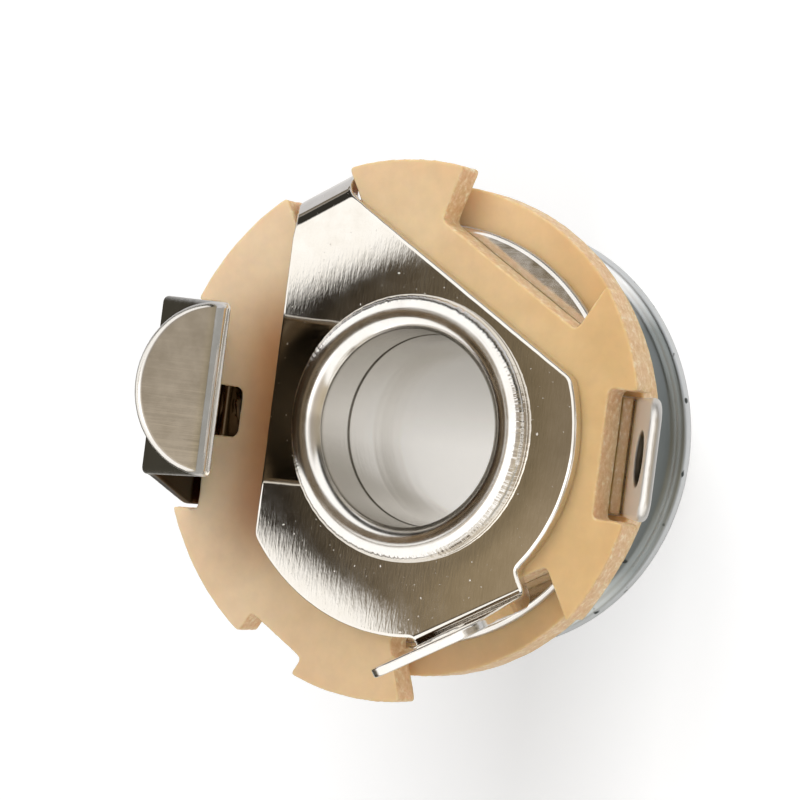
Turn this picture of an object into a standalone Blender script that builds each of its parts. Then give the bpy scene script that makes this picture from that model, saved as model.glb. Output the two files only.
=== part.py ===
"""Open quarter inch phone jack, mono, for a panel.

A threaded bushing carries a dished cup, two phenolic wafers, the tip contact
and the ground plate, all clamped by its rolled end. The axis of the plug's
bore is Z. Z is 0 at the barrel's mouth and grows towards the solder lugs.
The tip lug points to +X and the tip spring stands at -X.
"""
import math

import bmesh
import bpy
from mathutils import Matrix, Vector

MM = 0.001

# Clearances
STACK_GAP = 0.15 * MM
SIDE_GAP = 0.15 * MM
THREAD_GAP = 0.2 * MM
HINGE_GAP = 0.15 * MM

# Bushing, turned from bar and rolled over at its rear end
PLUG_BORE_R = 3.25 * MM
NECK_WALL = 0.5 * MM
BARREL_WALL = 1.15 * MM
BARREL_LENGTH = 6.8 * MM
MOUTH_CHAMFER = 0.3 * MM
THREAD_PITCH = 0.75 * MM
THREAD_DEPTH = 0.35 * MM
COLLAR_STEP = 0.8 * MM
COLLAR_T = 1.1 * MM
ROLL_REACH = 0.85 * MM
ROLL_T = 0.32 * MM
ROLL_FLARE = 0.15 * MM

# Front cup, pressed from sheet, with its rim against the panel
CUP_ROOM = 0.5 * MM
CUP_FLARE = 1.05 * MM
CUP_BRIM = 0.35 * MM
CUP_DEPTH = 3.25 * MM
CUP_SHEET_T = 0.6 * MM

# Phenolic wafers, punched from board
WAFER_T = 1.05 * MM
REAR_WAFER_CENTRE = (-0.9 * MM, -0.12 * MM)
FRONT_WAFER_STEP = 0.8 * MM
FRONT_WAFER_CENTRE = (-0.7 * MM, 0.0)
SPARE_NOTCH_W = 2.6 * MM
SPARE_NOTCH_DEPTH = 0.9 * MM
LOCK_NOTCH_DEPTH = 1.3 * MM
TIP_NOTCH_DEPTH = 1.4 * MM
SPRING_NOTCH_DEPTH = 1.85 * MM
SIDE_NOTCH_DEPTH = 2.57 * MM
SIDE_NOTCH_LEFT = 3.65 * MM
SIDE_NOTCH_LEFT_RIM = 4.1 * MM
SIDE_NOTCH_RIGHT = 2.9 * MM
WINDOW_DEPTH = 1.3 * MM
WINDOW_TOP = 0.65 * MM
WINDOW_BOTTOM = 1.15 * MM
WINDOW_CORNER = 0.3 * MM

# Tip contact, stamped from spring strip
CONTACT_T = 0.4 * MM
CONTACT_RING_W = 2.35 * MM
CONTACT_INSET = 0.25 * MM
CONTACT_CENTRE = (-0.2 * MM, -0.1 * MM)
SPACER_WALL = 1.0 * MM
BEND_R = 0.3 * MM
TIP_LUG_W = 4.1 * MM
TIP_LUG_LEAN = math.radians(33)
TIP_NOTCH_ROOM = 0.25 * MM
LUG_CORNER = 1.1 * MM
EYE_R = 0.85 * MM
EYE_FROM_END = 2.0 * MM

# Tip spring, the other end of that strip
ARM_ROOT_FLAT = 0.15 * MM
ARM_ROOT_LOW = -3.75 * MM
ARM_ROOT_HIGH = 3.45 * MM
ARM_ELBOW_LOW = -2.8 * MM
ARM_ELBOW_HIGH = 3.55 * MM
ARM_KNUCKLE_LOW = -2.35 * MM
ARM_KNUCKLE_HIGH = 3.35 * MM
ARM_TAPER_START = 1.2 * MM
ARM_RISE = 3.7 * MM
ARM_LEAN = math.radians(46)
ARM_RUN = 8.6 * MM
KNUCKLE_R = 0.5 * MM
TONGUE_LENGTH = 2.6 * MM
TONGUE_FLARE = math.radians(45)

# Ground plate, stamped from sheet
PLATE_T = 0.45 * MM
PLATE_LEFT = 5.7 * MM
PLATE_CHORD = 5.07 * MM
PLATE_BULGE = 1.37 * MM
PLATE_LOWER_BULGE = 1.55 * MM
GROUND_LUG_W = 4.55 * MM
GROUND_LUG_SIDE = -0.25 * MM
GROUND_LUG_INSET = 0.5 * MM
GROUND_LUG_LENGTH = 4.0 * MM
GROUND_LUG_LEAN = math.radians(14)
LOCK_TAB_LOW = -1.6 * MM
LOCK_TAB_HIGH = 1.1 * MM
LOCK_TAB_DROP = 0.6 * MM
LOCK_BEND_R = 0.65 * MM

# Mounting washer and nut
WASHER_INSET = 0.95 * MM
WASHER_T = 0.7 * MM
NUT_WALL = 1.1 * MM
NUT_T = 2.0 * MM
NUT_CHAMFER = 0.35 * MM

# Roundness of turned pieces, of punched arcs and of bends
TURN_STEPS = 64
ARC_STEP = math.radians(5)
BEND_CUTS = 5
CORNER_CUTS = 5

# Heights of the clamped stack, from the cup's seat on the panel upwards
Z_SEAT = BARREL_LENGTH
Z_CUP_TOP = Z_SEAT + CUP_DEPTH
Z_FRONT_WAFER = Z_CUP_TOP + STACK_GAP
Z_CONTACT = Z_FRONT_WAFER + WAFER_T + STACK_GAP
Z_REAR_WAFER = Z_CONTACT + CONTACT_T + STACK_GAP
Z_PLATE = Z_REAR_WAFER + WAFER_T + STACK_GAP
Z_ROLL = Z_PLATE + PLATE_T + STACK_GAP

# Radii that follow from the bore outwards
NECK_R = PLUG_BORE_R + NECK_WALL
BARREL_R = PLUG_BORE_R + BARREL_WALL
COLLAR_R = BARREL_R + COLLAR_STEP
CUP_CROWN_R = COLLAR_R + CUP_ROOM + CUP_SHEET_T
CUP_FOOT_R = CUP_CROWN_R + CUP_FLARE
CUP_RIM_R = CUP_FOOT_R + CUP_BRIM
STACK_HOLE_R = NECK_R + SIDE_GAP
SPACER_R = STACK_HOLE_R + SPACER_WALL
CONTACT_R = SPACER_R + SIDE_GAP + CONTACT_RING_W
TIP_LUG_ROOT = CONTACT_R + CONTACT_CENTRE[0] + CONTACT_INSET
TIP_NOTCH_FLOOR = TIP_LUG_ROOT - TIP_NOTCH_ROOM
REAR_RIM_AT_TIP = TIP_NOTCH_FLOOR + TIP_NOTCH_DEPTH
REAR_WAFER_R = math.hypot(REAR_RIM_AT_TIP - REAR_WAFER_CENTRE[0], REAR_WAFER_CENTRE[1])
FRONT_WAFER_R = REAR_WAFER_R - FRONT_WAFER_STEP
WASHER_R = CUP_RIM_R - WASHER_INSET
NUT_FLATS = 2 * (BARREL_R + NUT_WALL)
PLATE_RIGHT_R = PLATE_CHORD + PLATE_BULGE
PLATE_LOWER_R = PLATE_LEFT + PLATE_LOWER_BULGE

AXIS = (0.0, 0.0)
TIP_DIRECTION = 0.0
GROUND_DIRECTION = math.radians(-60)
LOCK_DIRECTION = math.radians(120)
SPARE_DIRECTION = math.radians(-120)
SPRING_DIRECTION = math.radians(180)


def rear_rim(direction):
    """How far the rear wafer's rim lies from the axis in a direction."""
    c = math.cos(direction)
    s = math.sin(direction)
    ahead = REAR_WAFER_CENTRE[0] * c + REAR_WAFER_CENTRE[1] * s
    beside = REAR_WAFER_CENTRE[1] * c - REAR_WAFER_CENTRE[0] * s
    return ahead + math.sqrt(REAR_WAFER_R ** 2 - beside ** 2)


# Notch floors, and the bends of the pieces that pass through the notches
SPRING_NOTCH_FLOOR = rear_rim(SPRING_DIRECTION) - SPRING_NOTCH_DEPTH
LOCK_NOTCH_FLOOR = rear_rim(LOCK_DIRECTION) - LOCK_NOTCH_DEPTH
SPARE_NOTCH_FLOOR = rear_rim(SPARE_DIRECTION) - SPARE_NOTCH_DEPTH
SIDE_NOTCH_FLOOR = rear_rim(-GROUND_DIRECTION) - SIDE_NOTCH_DEPTH
ARM_ROOT = SPRING_NOTCH_FLOOR + SIDE_GAP - BEND_R
LOCK_TAB_ROOT = LOCK_NOTCH_FLOOR - SIDE_GAP
GROUND_LUG_ROOT = PLATE_LOWER_R - GROUND_LUG_INSET


def clear_scene():
    """Removes every object that the file starts with."""
    for obj in list(bpy.data.objects):
        bpy.data.objects.remove(obj, do_unlink=True)


def new_collection(name):
    """Adds a collection to the scene."""
    collection = bpy.data.collections.new(name)
    bpy.context.scene.collection.children.link(collection)
    return collection


def new_material(name, colour, metallic, roughness):
    """A Principled material of one colour."""
    material = bpy.data.materials.new(name)
    material.use_nodes = True
    shader = material.node_tree.nodes["Principled BSDF"]
    shader.inputs["Base Color"].default_value = (*colour, 1.0)
    shader.inputs["Metallic"].default_value = metallic
    shader.inputs["Roughness"].default_value = roughness
    return material


def place(name, mesh, material, collection, smooth=True):
    """Links a mesh as a named object with its material."""
    obj = bpy.data.objects.new(name, mesh)
    collection.objects.link(obj)
    mesh.materials.append(material)
    if smooth and mesh.polygons:
        mesh.shade_smooth()
        mesh.set_sharp_from_angle(angle=math.radians(35))
    return obj


def turned(name, profile, material, collection):
    """A closed profile of (radius, height) points, turned round Z by a Screw modifier.

    The profile runs from its top outwards, down its outer side and back up its bore.
    """
    mesh = bpy.data.meshes.new(name)
    points = [(r, 0.0, z) for r, z in profile]
    edges = [(i, (i + 1) % len(points)) for i in range(len(points))]
    mesh.from_pydata(points, edges, [])
    obj = place(name, mesh, material, collection)
    screw = obj.modifiers.new("Turn", "SCREW")
    screw.angle = 2 * math.pi
    screw.steps = TURN_STEPS
    screw.render_steps = TURN_STEPS
    screw.use_merge_vertices = True
    screw.merge_threshold = 0.00001
    screw.use_smooth_shade = True
    return obj


def ring_profile(inner, outer, low, high):
    """A rectangular section, from its outer top corner down and round."""
    return [(outer, high), (outer, low), (inner, low), (inner, high)]


def polar(radius, angle, centre=AXIS):
    """The point at a radius and an angle round a centre."""
    return (centre[0] + radius * math.cos(angle), centre[1] + radius * math.sin(angle))


def outward(direction, distance, side):
    """The point at a distance along a direction and a distance to its left."""
    c = math.cos(direction)
    s = math.sin(direction)
    return (distance * c - side * s, distance * s + side * c)


def arc(radius, start, end, centre=AXIS):
    """Points of an arc, both ends included, in whichever sense end lies."""
    count = max(1, round(abs(end - start) / ARC_STEP))
    return [polar(radius, start + (end - start) * i / count, centre) for i in range(count + 1)]


def rim_point(radius, centre, direction, side):
    """Where a line beside a direction meets a disc whose centre lies off the axis."""
    c = math.cos(direction)
    s = math.sin(direction)
    ahead = centre[0] * c + centre[1] * s
    across = side - (centre[1] * c - centre[0] * s)
    return outward(direction, ahead + math.sqrt(radius ** 2 - across ** 2), side)


def angle_about(point, centre):
    """A point's angle round a centre."""
    return math.atan2(point[1] - centre[1], point[0] - centre[0])


def rounded(points, radius, corners):
    """Rounds the named corners of an open run of points."""
    out = []
    for i, point in enumerate(points):
        if i not in corners:
            out.append(point)
            continue
        here = Vector(point)
        back = (Vector(points[i - 1]) - here).normalized()
        ahead = (Vector(points[i + 1]) - here).normalized()
        half = back.angle(ahead) / 2
        reach = radius / math.tan(half)
        centre = here + (back + ahead).normalized() * radius / math.sin(half)
        start = here + back * reach - centre
        turn = start.angle_signed(here + ahead * reach - centre)
        for k in range(CORNER_CUTS + 1):
            spin = Matrix.Rotation(-turn * k / CORNER_CUTS, 2)
            out.append(tuple(centre + spin @ start))
    return out


def edge_features(radius, centre, features):
    """A disc's outline, anticlockwise, with notches and tongues cut into its rim.

    Each feature is (direction, points), with points given as (distance, side)
    from its lower side to its upper side; the first and last only give sides.
    """
    features = sorted(features, key=lambda item: item[0] % (2 * math.pi))
    outline = []
    starts = []
    for direction, points in features:
        first = rim_point(radius, centre, direction, points[0][1])
        last = rim_point(radius, centre, direction, points[-1][1])
        inner = [outward(direction, d, side) for d, side in points[1:-1]]
        starts.append((first, inner, last))
    for i, (first, inner, last) in enumerate(starts):
        following = starts[(i + 1) % len(starts)][0]
        begin = angle_about(last, centre)
        end = angle_about(following, centre)
        while end <= begin:
            end += 2 * math.pi
        outline.append(first)
        outline.extend(inner)
        outline.extend(arc(radius, begin, end, centre)[:-1])
    return outline


def blank(name, outlines, low, thickness, material, collection):
    """A flat piece punched from sheet: a filled 2D curve, extruded and made a mesh."""
    curve = bpy.data.curves.new(name, "CURVE")
    curve.dimensions = "2D"
    curve.fill_mode = "BOTH"
    curve.extrude = thickness / 2
    for outline in outlines:
        spline = curve.splines.new("POLY")
        spline.points.add(len(outline) - 1)
        for point, (x, y) in zip(spline.points, outline):
            point.co = (x, y, 0.0, 1.0)
        spline.use_cyclic_u = True
    guide = bpy.data.objects.new(name + "_outline", curve)
    guide.location.z = low + thickness / 2
    collection.objects.link(guide)
    bpy.context.view_layer.update()
    depsgraph = bpy.context.evaluated_depsgraph_get()
    mesh = bpy.data.meshes.new_from_object(guide.evaluated_get(depsgraph))
    mesh.transform(guide.matrix_world)
    bpy.data.objects.remove(guide, do_unlink=True)
    shape = bmesh.new()
    shape.from_mesh(mesh)
    bmesh.ops.remove_doubles(shape, verts=shape.verts, dist=0.000001)
    bmesh.ops.recalc_face_normals(shape, faces=shape.faces)
    shape.to_mesh(mesh)
    shape.free()
    mesh.materials.clear()
    return place(name, mesh, material, collection)


def fold(obj, direction, root, low, thickness, bend_r, angle):
    """Folds a flat blank about a straight line, as a press brake does.

    The line lies square to a direction, at a distance from the axis. A positive
    angle folds up. Past the line the sheet wraps round a circle of the bend
    radius on its inner face, and the rest follows straight on.
    """
    mesh = obj.data
    normal = Vector((math.cos(direction), math.sin(direction), 0.0))
    neutral = bend_r + thickness / 2
    length = neutral * abs(angle)
    shape = bmesh.new()
    shape.from_mesh(mesh)
    for i in range(BEND_CUTS + 1):
        geometry = shape.verts[:] + shape.edges[:] + shape.faces[:]
        cut = normal * (root + length * i / BEND_CUTS)
        bmesh.ops.bisect_plane(shape, geom=geometry, dist=0.0000005, plane_co=cut, plane_no=normal)
    up = 1.0 if angle > 0 else -1.0
    face = low + thickness if angle > 0 else low
    centre = face + up * bend_r
    for vert in shape.verts:
        along = vert.co.dot(normal) - root
        if along <= 0.0:
            continue
        turn = min(along / length, 1.0) * abs(angle)
        rest = max(along - length, 0.0)
        ring = (centre - vert.co.z) * up
        new_along = ring * math.sin(turn) + rest * math.cos(turn)
        vert.co += normal * (new_along - along)
        vert.co.z = centre - up * (ring * math.cos(turn) - rest * math.sin(turn))
    shape.to_mesh(mesh)
    shape.free()
    mesh.shade_smooth()
    mesh.set_sharp_from_angle(angle=math.radians(35))


def lug_blank(direction, root_side, width, end):
    """A lug's side and end points, square to a direction, with rounded corners."""
    low = root_side - width / 2
    high = root_side + width / 2
    corners = [(0.0, low), (end, low), (end, high), (0.0, high)]
    return rounded(corners, LUG_CORNER, (1, 2))[1:-1]


def circle(radius, centre=AXIS):
    """A closed circle's points."""
    return arc(radius, 0.0, 2 * math.pi, centre)[:-1]


def thread_profile(low, high):
    """V grooves down the barrel, one to each pitch, in place of its fine helical thread."""
    turns = int((high - low) / THREAD_PITCH)
    points = []
    for i in range(turns):
        crest = high - i * THREAD_PITCH
        points.append((BARREL_R, crest))
        points.append((BARREL_R - THREAD_DEPTH, crest - THREAD_PITCH / 2))
    points.append((BARREL_R, high - turns * THREAD_PITCH))
    return points


def make_bushing(material, collection):
    """Threaded barrel, collar, neck and rolled rear end in one turned piece."""
    z_collar = Z_CUP_TOP - CUP_SHEET_T - STACK_GAP
    z_crest = Z_ROLL + ROLL_T
    roll_r = NECK_R + ROLL_REACH
    profile = [
        (PLUG_BORE_R + ROLL_FLARE, z_crest - ROLL_T / 3),
        (PLUG_BORE_R + ROLL_FLARE * 2, z_crest - ROLL_T / 8),
        ((NECK_R + PLUG_BORE_R) / 2 + ROLL_REACH / 3, z_crest),
        (roll_r - ROLL_REACH / 4, z_crest - ROLL_T / 8),
        (roll_r, z_crest - ROLL_T / 2),
        (roll_r - ROLL_REACH / 6, Z_ROLL),
        (NECK_R, Z_ROLL),
        (NECK_R, z_collar),
        (COLLAR_R, z_collar),
        (COLLAR_R, z_collar - COLLAR_T),
        (BARREL_R, z_collar - COLLAR_T),
        *thread_profile(MOUTH_CHAMFER, z_collar - COLLAR_T - THREAD_PITCH),
        (BARREL_R, MOUTH_CHAMFER),
        (BARREL_R - MOUTH_CHAMFER, 0.0),
        (PLUG_BORE_R + MOUTH_CHAMFER, 0.0),
        (PLUG_BORE_R, MOUTH_CHAMFER),
        (PLUG_BORE_R, Z_ROLL - PLATE_T),
    ]
    return turned("bushing", profile, material, collection)


def make_cup(material, collection):
    """Dished cup of even sheet: a flat crown, a steep skirt and a narrow flat brim."""
    brim_top = Z_SEAT + CUP_SHEET_T
    crown_under = Z_CUP_TOP - CUP_SHEET_T
    soften = CUP_SHEET_T / 3
    slope = math.atan2(CUP_FOOT_R - CUP_CROWN_R, CUP_DEPTH - CUP_SHEET_T)
    wall = CUP_SHEET_T / math.cos(slope)
    profile = [
        (STACK_HOLE_R, Z_CUP_TOP),
        (CUP_CROWN_R - soften, Z_CUP_TOP),
        (CUP_CROWN_R, Z_CUP_TOP - soften),
        (CUP_FOOT_R - soften / 3, brim_top + soften),
        (CUP_FOOT_R, brim_top),
        (CUP_RIM_R - soften / 2, brim_top),
        (CUP_RIM_R, brim_top - soften / 2),
        (CUP_RIM_R, Z_SEAT + soften / 2),
        (CUP_RIM_R - soften / 2, Z_SEAT),
        (CUP_FOOT_R - wall + soften / 2, Z_SEAT),
        (CUP_FOOT_R - wall, Z_SEAT + soften),
        (CUP_CROWN_R - wall, crown_under - soften),
        (CUP_CROWN_R - wall - soften, crown_under),
        (STACK_HOLE_R, crown_under),
    ]
    return turned("front_cup", profile, material, collection)


def make_front_insulator(material, collection):
    """Plain round wafer between the cup and the tip contact."""
    rim = circle(FRONT_WAFER_R, FRONT_WAFER_CENTRE)
    hole = circle(STACK_HOLE_R)
    return blank("front_insulator", [rim, hole], Z_FRONT_WAFER, WAFER_T, material, collection)


def make_spacer(material, collection):
    """Insulating ring that keeps the tip contact off the bushing's neck."""
    profile = ring_profile(STACK_HOLE_R, SPACER_R, Z_CONTACT, Z_CONTACT + CONTACT_T)
    return turned("spacer_ring", profile, material, collection)


def make_tip_contact(material, collection):
    """Ring with the tip's solder lug, up to the tongue's end at the spring's root."""
    bend = (BEND_R + CONTACT_T / 2) * (math.pi / 2 - TIP_LUG_LEAN)
    bend_out = (BEND_R + CONTACT_T / 2) * math.cos(TIP_LUG_LEAN)
    lug_out = REAR_WAFER_R - REAR_WAFER_CENTRE[0]
    skin = CONTACT_T / 2 * math.cos(TIP_LUG_LEAN)
    straight = (lug_out - TIP_LUG_ROOT - bend_out - skin) / math.sin(TIP_LUG_LEAN)
    end = TIP_LUG_ROOT + bend + straight
    tongue_end = ARM_ROOT - ARM_ROOT_FLAT - HINGE_GAP
    half = TIP_LUG_W / 2
    lug = [(0.0, -half)] + lug_blank(TIP_DIRECTION, 0.0, TIP_LUG_W, end) + [(0.0, half)]
    tongue = [
        (0.0, -ARM_ROOT_HIGH),
        (tongue_end, -ARM_ROOT_HIGH),
        (tongue_end, -ARM_ROOT_LOW),
        (0.0, -ARM_ROOT_LOW),
    ]
    features = [(TIP_DIRECTION, lug), (SPRING_DIRECTION, tongue)]
    rim = edge_features(CONTACT_R, CONTACT_CENTRE, features)
    hole = circle(SPACER_R + SIDE_GAP)
    eye = circle_at(EYE_R, outward(TIP_DIRECTION, end - EYE_FROM_END, 0.0))
    contact = blank("tip_contact", [rim, hole, eye], Z_CONTACT, CONTACT_T, material, collection)
    fold(contact, TIP_DIRECTION, TIP_LUG_ROOT, Z_CONTACT, CONTACT_T, BEND_R, math.pi / 2 - TIP_LUG_LEAN)
    return contact


def circle_at(radius, centre):
    """A small hole's points, coarser than a rim's."""
    count = 20
    return [polar(radius, 2 * math.pi * i / count, centre) for i in range(count)]


def make_tip_spring(material, collection):
    """The leaf that presses on the plug's tip: up, in, and flared out at its knuckle."""
    neutral = BEND_R + CONTACT_T / 2
    knuckle = KNUCKLE_R + CONTACT_T / 2
    root_bend = neutral * math.pi / 2
    elbow_bend = neutral * ARM_LEAN
    knuckle_bend = knuckle * (ARM_LEAN + TONGUE_FLARE)
    start = ARM_ROOT - ARM_ROOT_FLAT
    rise = ARM_ROOT + root_bend
    elbow = rise + ARM_RISE
    run = elbow + elbow_bend
    knuckle_start = run + ARM_RUN
    tongue = knuckle_start + knuckle_bend / 2
    middle = (ARM_KNUCKLE_LOW + ARM_KNUCKLE_HIGH) / 2
    half = (ARM_KNUCKLE_HIGH - ARM_KNUCKLE_LOW) / 2
    taper = rise + ARM_TAPER_START
    count = 16
    lower = [(start, ARM_ROOT_LOW), (taper, ARM_ROOT_LOW), (elbow, ARM_ELBOW_LOW)]
    upper = [(elbow, ARM_ELBOW_HIGH), (taper, ARM_ROOT_HIGH), (start, ARM_ROOT_HIGH)]
    end = []
    for i in range(count + 1):
        turn = math.pi * (i / count - 0.5)
        end.append((tongue + TONGUE_LENGTH * math.cos(turn), middle + half * math.sin(turn)))
    outline = [(-s, y) for s, y in lower + end + upper]
    spring = blank("tip_spring", [outline], Z_CONTACT, CONTACT_T, material, collection)
    folds = [
        (knuckle_start, KNUCKLE_R, -(ARM_LEAN + TONGUE_FLARE)),
        (elbow, BEND_R, ARM_LEAN),
        (ARM_ROOT, BEND_R, math.pi / 2),
    ]
    for root, radius, angle in folds:
        fold(spring, SPRING_DIRECTION, root, Z_CONTACT, CONTACT_T, radius, angle)
    hinge = Vector((-ARM_ROOT, 0.0, Z_CONTACT + CONTACT_T / 2))
    spring.data.transform(Matrix.Translation(-hinge))
    spring.location = hinge
    return spring


def make_rear_insulator(material, collection):
    """Rear wafer with its notches for the lugs, the spring and the locking tab."""
    tip_half = TIP_LUG_W / 2 + SIDE_GAP
    lock_middle = -(LOCK_TAB_LOW + LOCK_TAB_HIGH) / 2
    lock_half = (LOCK_TAB_HIGH - LOCK_TAB_LOW) / 2 + SIDE_GAP
    low = -ARM_ROOT_HIGH - SIDE_GAP
    high = -ARM_ROOT_LOW + SIDE_GAP
    window = rounded(
        [(SPRING_NOTCH_FLOOR, -WINDOW_TOP), (SPRING_NOTCH_FLOOR - WINDOW_DEPTH, -WINDOW_TOP),
         (SPRING_NOTCH_FLOOR - WINDOW_DEPTH, WINDOW_BOTTOM), (SPRING_NOTCH_FLOOR, WINDOW_BOTTOM)],
        WINDOW_CORNER, (1, 2))
    lock = [(0.0, lock_middle - lock_half), (LOCK_NOTCH_FLOOR, lock_middle - lock_half),
            (LOCK_NOTCH_FLOOR, lock_middle + lock_half), (0.0, lock_middle + lock_half)]
    spare = [(0.0, -SPARE_NOTCH_W / 2), (SPARE_NOTCH_FLOOR, -SPARE_NOTCH_W / 2),
             (SPARE_NOTCH_FLOOR, SPARE_NOTCH_W / 2), (0.0, SPARE_NOTCH_W / 2)]
    features = [
        (TIP_DIRECTION, [(0.0, -tip_half), (TIP_NOTCH_FLOOR, -tip_half), (TIP_NOTCH_FLOOR, tip_half), (0.0, tip_half)]),
        (-GROUND_DIRECTION, side_notch(1.0)),
        (LOCK_DIRECTION, lock),
        (SPRING_DIRECTION, [(0.0, low), (SPRING_NOTCH_FLOOR, low)] + window + [(SPRING_NOTCH_FLOOR, high), (0.0, high)]),
        (SPARE_DIRECTION, spare),
        (GROUND_DIRECTION, side_notch(-1.0)),
    ]
    rim = edge_features(REAR_WAFER_R, REAR_WAFER_CENTRE, features)
    hole = circle(STACK_HOLE_R)
    return blank("rear_insulator", [rim, hole], Z_REAR_WAFER, WAFER_T, material, collection)


def side_notch(side):
    """The wide notch beside a lug; side is 1 above the X axis and -1 below it."""
    points = [
        (0.0, -side * SIDE_NOTCH_RIGHT),
        (SIDE_NOTCH_FLOOR, -side * SIDE_NOTCH_RIGHT),
        (SIDE_NOTCH_FLOOR, side * SIDE_NOTCH_LEFT),
        (0.0, side * SIDE_NOTCH_LEFT_RIM),
    ]
    if side < 0:
        points.reverse()
    return points


def make_ground_plate(material, collection):
    """Ground plate under the rolled end, with its solder lug and locking tab."""
    bend = (BEND_R + PLATE_T / 2) * (math.pi / 2 - GROUND_LUG_LEAN)
    lug_end = GROUND_LUG_ROOT + bend + GROUND_LUG_LENGTH
    lug = lug_blank(GROUND_DIRECTION, GROUND_LUG_SIDE, GROUND_LUG_W, lug_end)
    lug = [outward(GROUND_DIRECTION, d, side) for d, side in lug]
    lug_low = rim_point(PLATE_LOWER_R, AXIS, GROUND_DIRECTION, GROUND_LUG_SIDE - GROUND_LUG_W / 2)
    lug_high = rim_point(PLATE_RIGHT_R, AXIS, GROUND_DIRECTION, GROUND_LUG_SIDE + GROUND_LUG_W / 2)
    chord = math.radians(60)
    chord_end = math.acos(PLATE_CHORD / PLATE_RIGHT_R)
    right = arc(PLATE_RIGHT_R, angle_about(lug_high, AXIS), chord - chord_end)
    tab_bend = (LOCK_BEND_R + PLATE_T / 2) * math.pi / 2
    tab_end = LOCK_TAB_ROOT + tab_bend + LOCK_TAB_DROP
    tab_right = outward(LOCK_DIRECTION, tab_end, -LOCK_TAB_HIGH)
    tab_left = outward(LOCK_DIRECTION, tab_end, -LOCK_TAB_LOW)
    tab_foot = outward(LOCK_DIRECTION, chord_meets(LOCK_TAB_HIGH), -LOCK_TAB_HIGH)
    side_meets = (PLATE_LEFT + LOCK_TAB_LOW * math.cos(math.radians(30))) / math.sin(math.radians(30))
    left_top = outward(LOCK_DIRECTION, side_meets, -LOCK_TAB_LOW)
    left_bottom = -math.acos(-PLATE_LEFT / PLATE_LOWER_R)
    lower = arc(PLATE_LOWER_R, left_bottom, angle_about(lug_low, AXIS))
    rim = lug + right + [tab_foot, tab_right, tab_left, left_top] + lower
    hole = circle(STACK_HOLE_R)
    eye = circle_at(EYE_R, outward(GROUND_DIRECTION, lug_end - EYE_FROM_END, GROUND_LUG_SIDE))
    plate = blank("ground_plate", [rim, hole, eye], Z_PLATE, PLATE_T, material, collection)
    lean = math.pi / 2 - GROUND_LUG_LEAN
    fold(plate, GROUND_DIRECTION, GROUND_LUG_ROOT, Z_PLATE, PLATE_T, BEND_R, lean)
    fold(plate, LOCK_DIRECTION, LOCK_TAB_ROOT, Z_PLATE, PLATE_T, LOCK_BEND_R, -math.pi / 2)
    return plate


def chord_meets(side):
    """Where the locking tab's right side meets the plate's upper right edge."""
    tilt = math.radians(60)
    return (PLATE_CHORD - side * math.cos(math.radians(30) - tilt)) / math.cos(tilt)


def make_washer(material, collection):
    """Flat washer on the barrel, under the cup."""
    top = Z_SEAT - STACK_GAP
    profile = ring_profile(BARREL_R + THREAD_GAP, WASHER_R, top - WASHER_T, top)
    return turned("washer", profile, material, collection)


def make_nut(material, collection, cutters):
    """Hexagon nut: six flats, chamfered corners and a bore, by Booleans."""
    top = Z_SEAT - WASHER_T - 2 * STACK_GAP
    corner_r = NUT_FLATS / math.sqrt(3)
    shape = bmesh.new()
    bmesh.ops.create_cone(shape, cap_ends=True, segments=6, radius1=corner_r, radius2=corner_r, depth=NUT_T)
    mesh = bpy.data.meshes.new("nut")
    shape.to_mesh(mesh)
    shape.free()
    mesh.transform(Matrix.Translation((0.0, 0.0, top - NUT_T / 2)))
    nut = place("nut", mesh, material, collection, smooth=False)
    flat_r = NUT_FLATS / 2 - NUT_CHAMFER / 2
    drop = (corner_r - flat_r) * math.tan(math.radians(30))
    lens = [
        (flat_r, top), (corner_r, top - drop), (corner_r, top - NUT_T + drop), (flat_r, top - NUT_T),
        (BARREL_R + THREAD_GAP, top - NUT_T), (BARREL_R + THREAD_GAP, top),
    ]
    cutter = turned("nut_envelope", lens, material, cutters)
    cutter.hide_render = True
    cutter.display_type = "WIRE"
    cut = nut.modifiers.new("Chamfers and bore", "BOOLEAN")
    cut.operation = "INTERSECT"
    cut.solver = "EXACT"
    cut.object = cutter
    return nut


clear_scene()
PARTS = new_collection("phone_jack")
CUTTERS = new_collection("phone_jack_cutters")
NICKEL = new_material("nickel_plate", (0.62, 0.60, 0.57), 1.0, 0.22)
STRIP = new_material("plated_spring_strip", (0.66, 0.64, 0.61), 1.0, 0.25)
PHENOLIC = new_material("phenolic_board", (0.72, 0.50, 0.26), 0.0, 0.6)
ZINC = new_material("zinc_plate", (0.38, 0.41, 0.41), 1.0, 0.35)

make_bushing(NICKEL, PARTS)
make_cup(ZINC, PARTS)
make_front_insulator(PHENOLIC, PARTS)
make_spacer(PHENOLIC, PARTS)
make_tip_contact(STRIP, PARTS)
make_tip_spring(STRIP, PARTS)
make_rear_insulator(PHENOLIC, PARTS)
make_ground_plate(NICKEL, PARTS)
make_washer(ZINC, PARTS)
make_nut(NICKEL, PARTS, CUTTERS)
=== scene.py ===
"""Looks of an open quarter inch phone jack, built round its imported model.

Sizes are in millimetres up to the point where a mesh is made. Z is the bore's
axis: 0 at the barrel's mouth, growing towards the solder lugs.
"""
import math

import bpy
import numpy as np
from mathutils import Matrix, Vector
from mathutils.geometry import delaunay_2d_cdt


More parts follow.
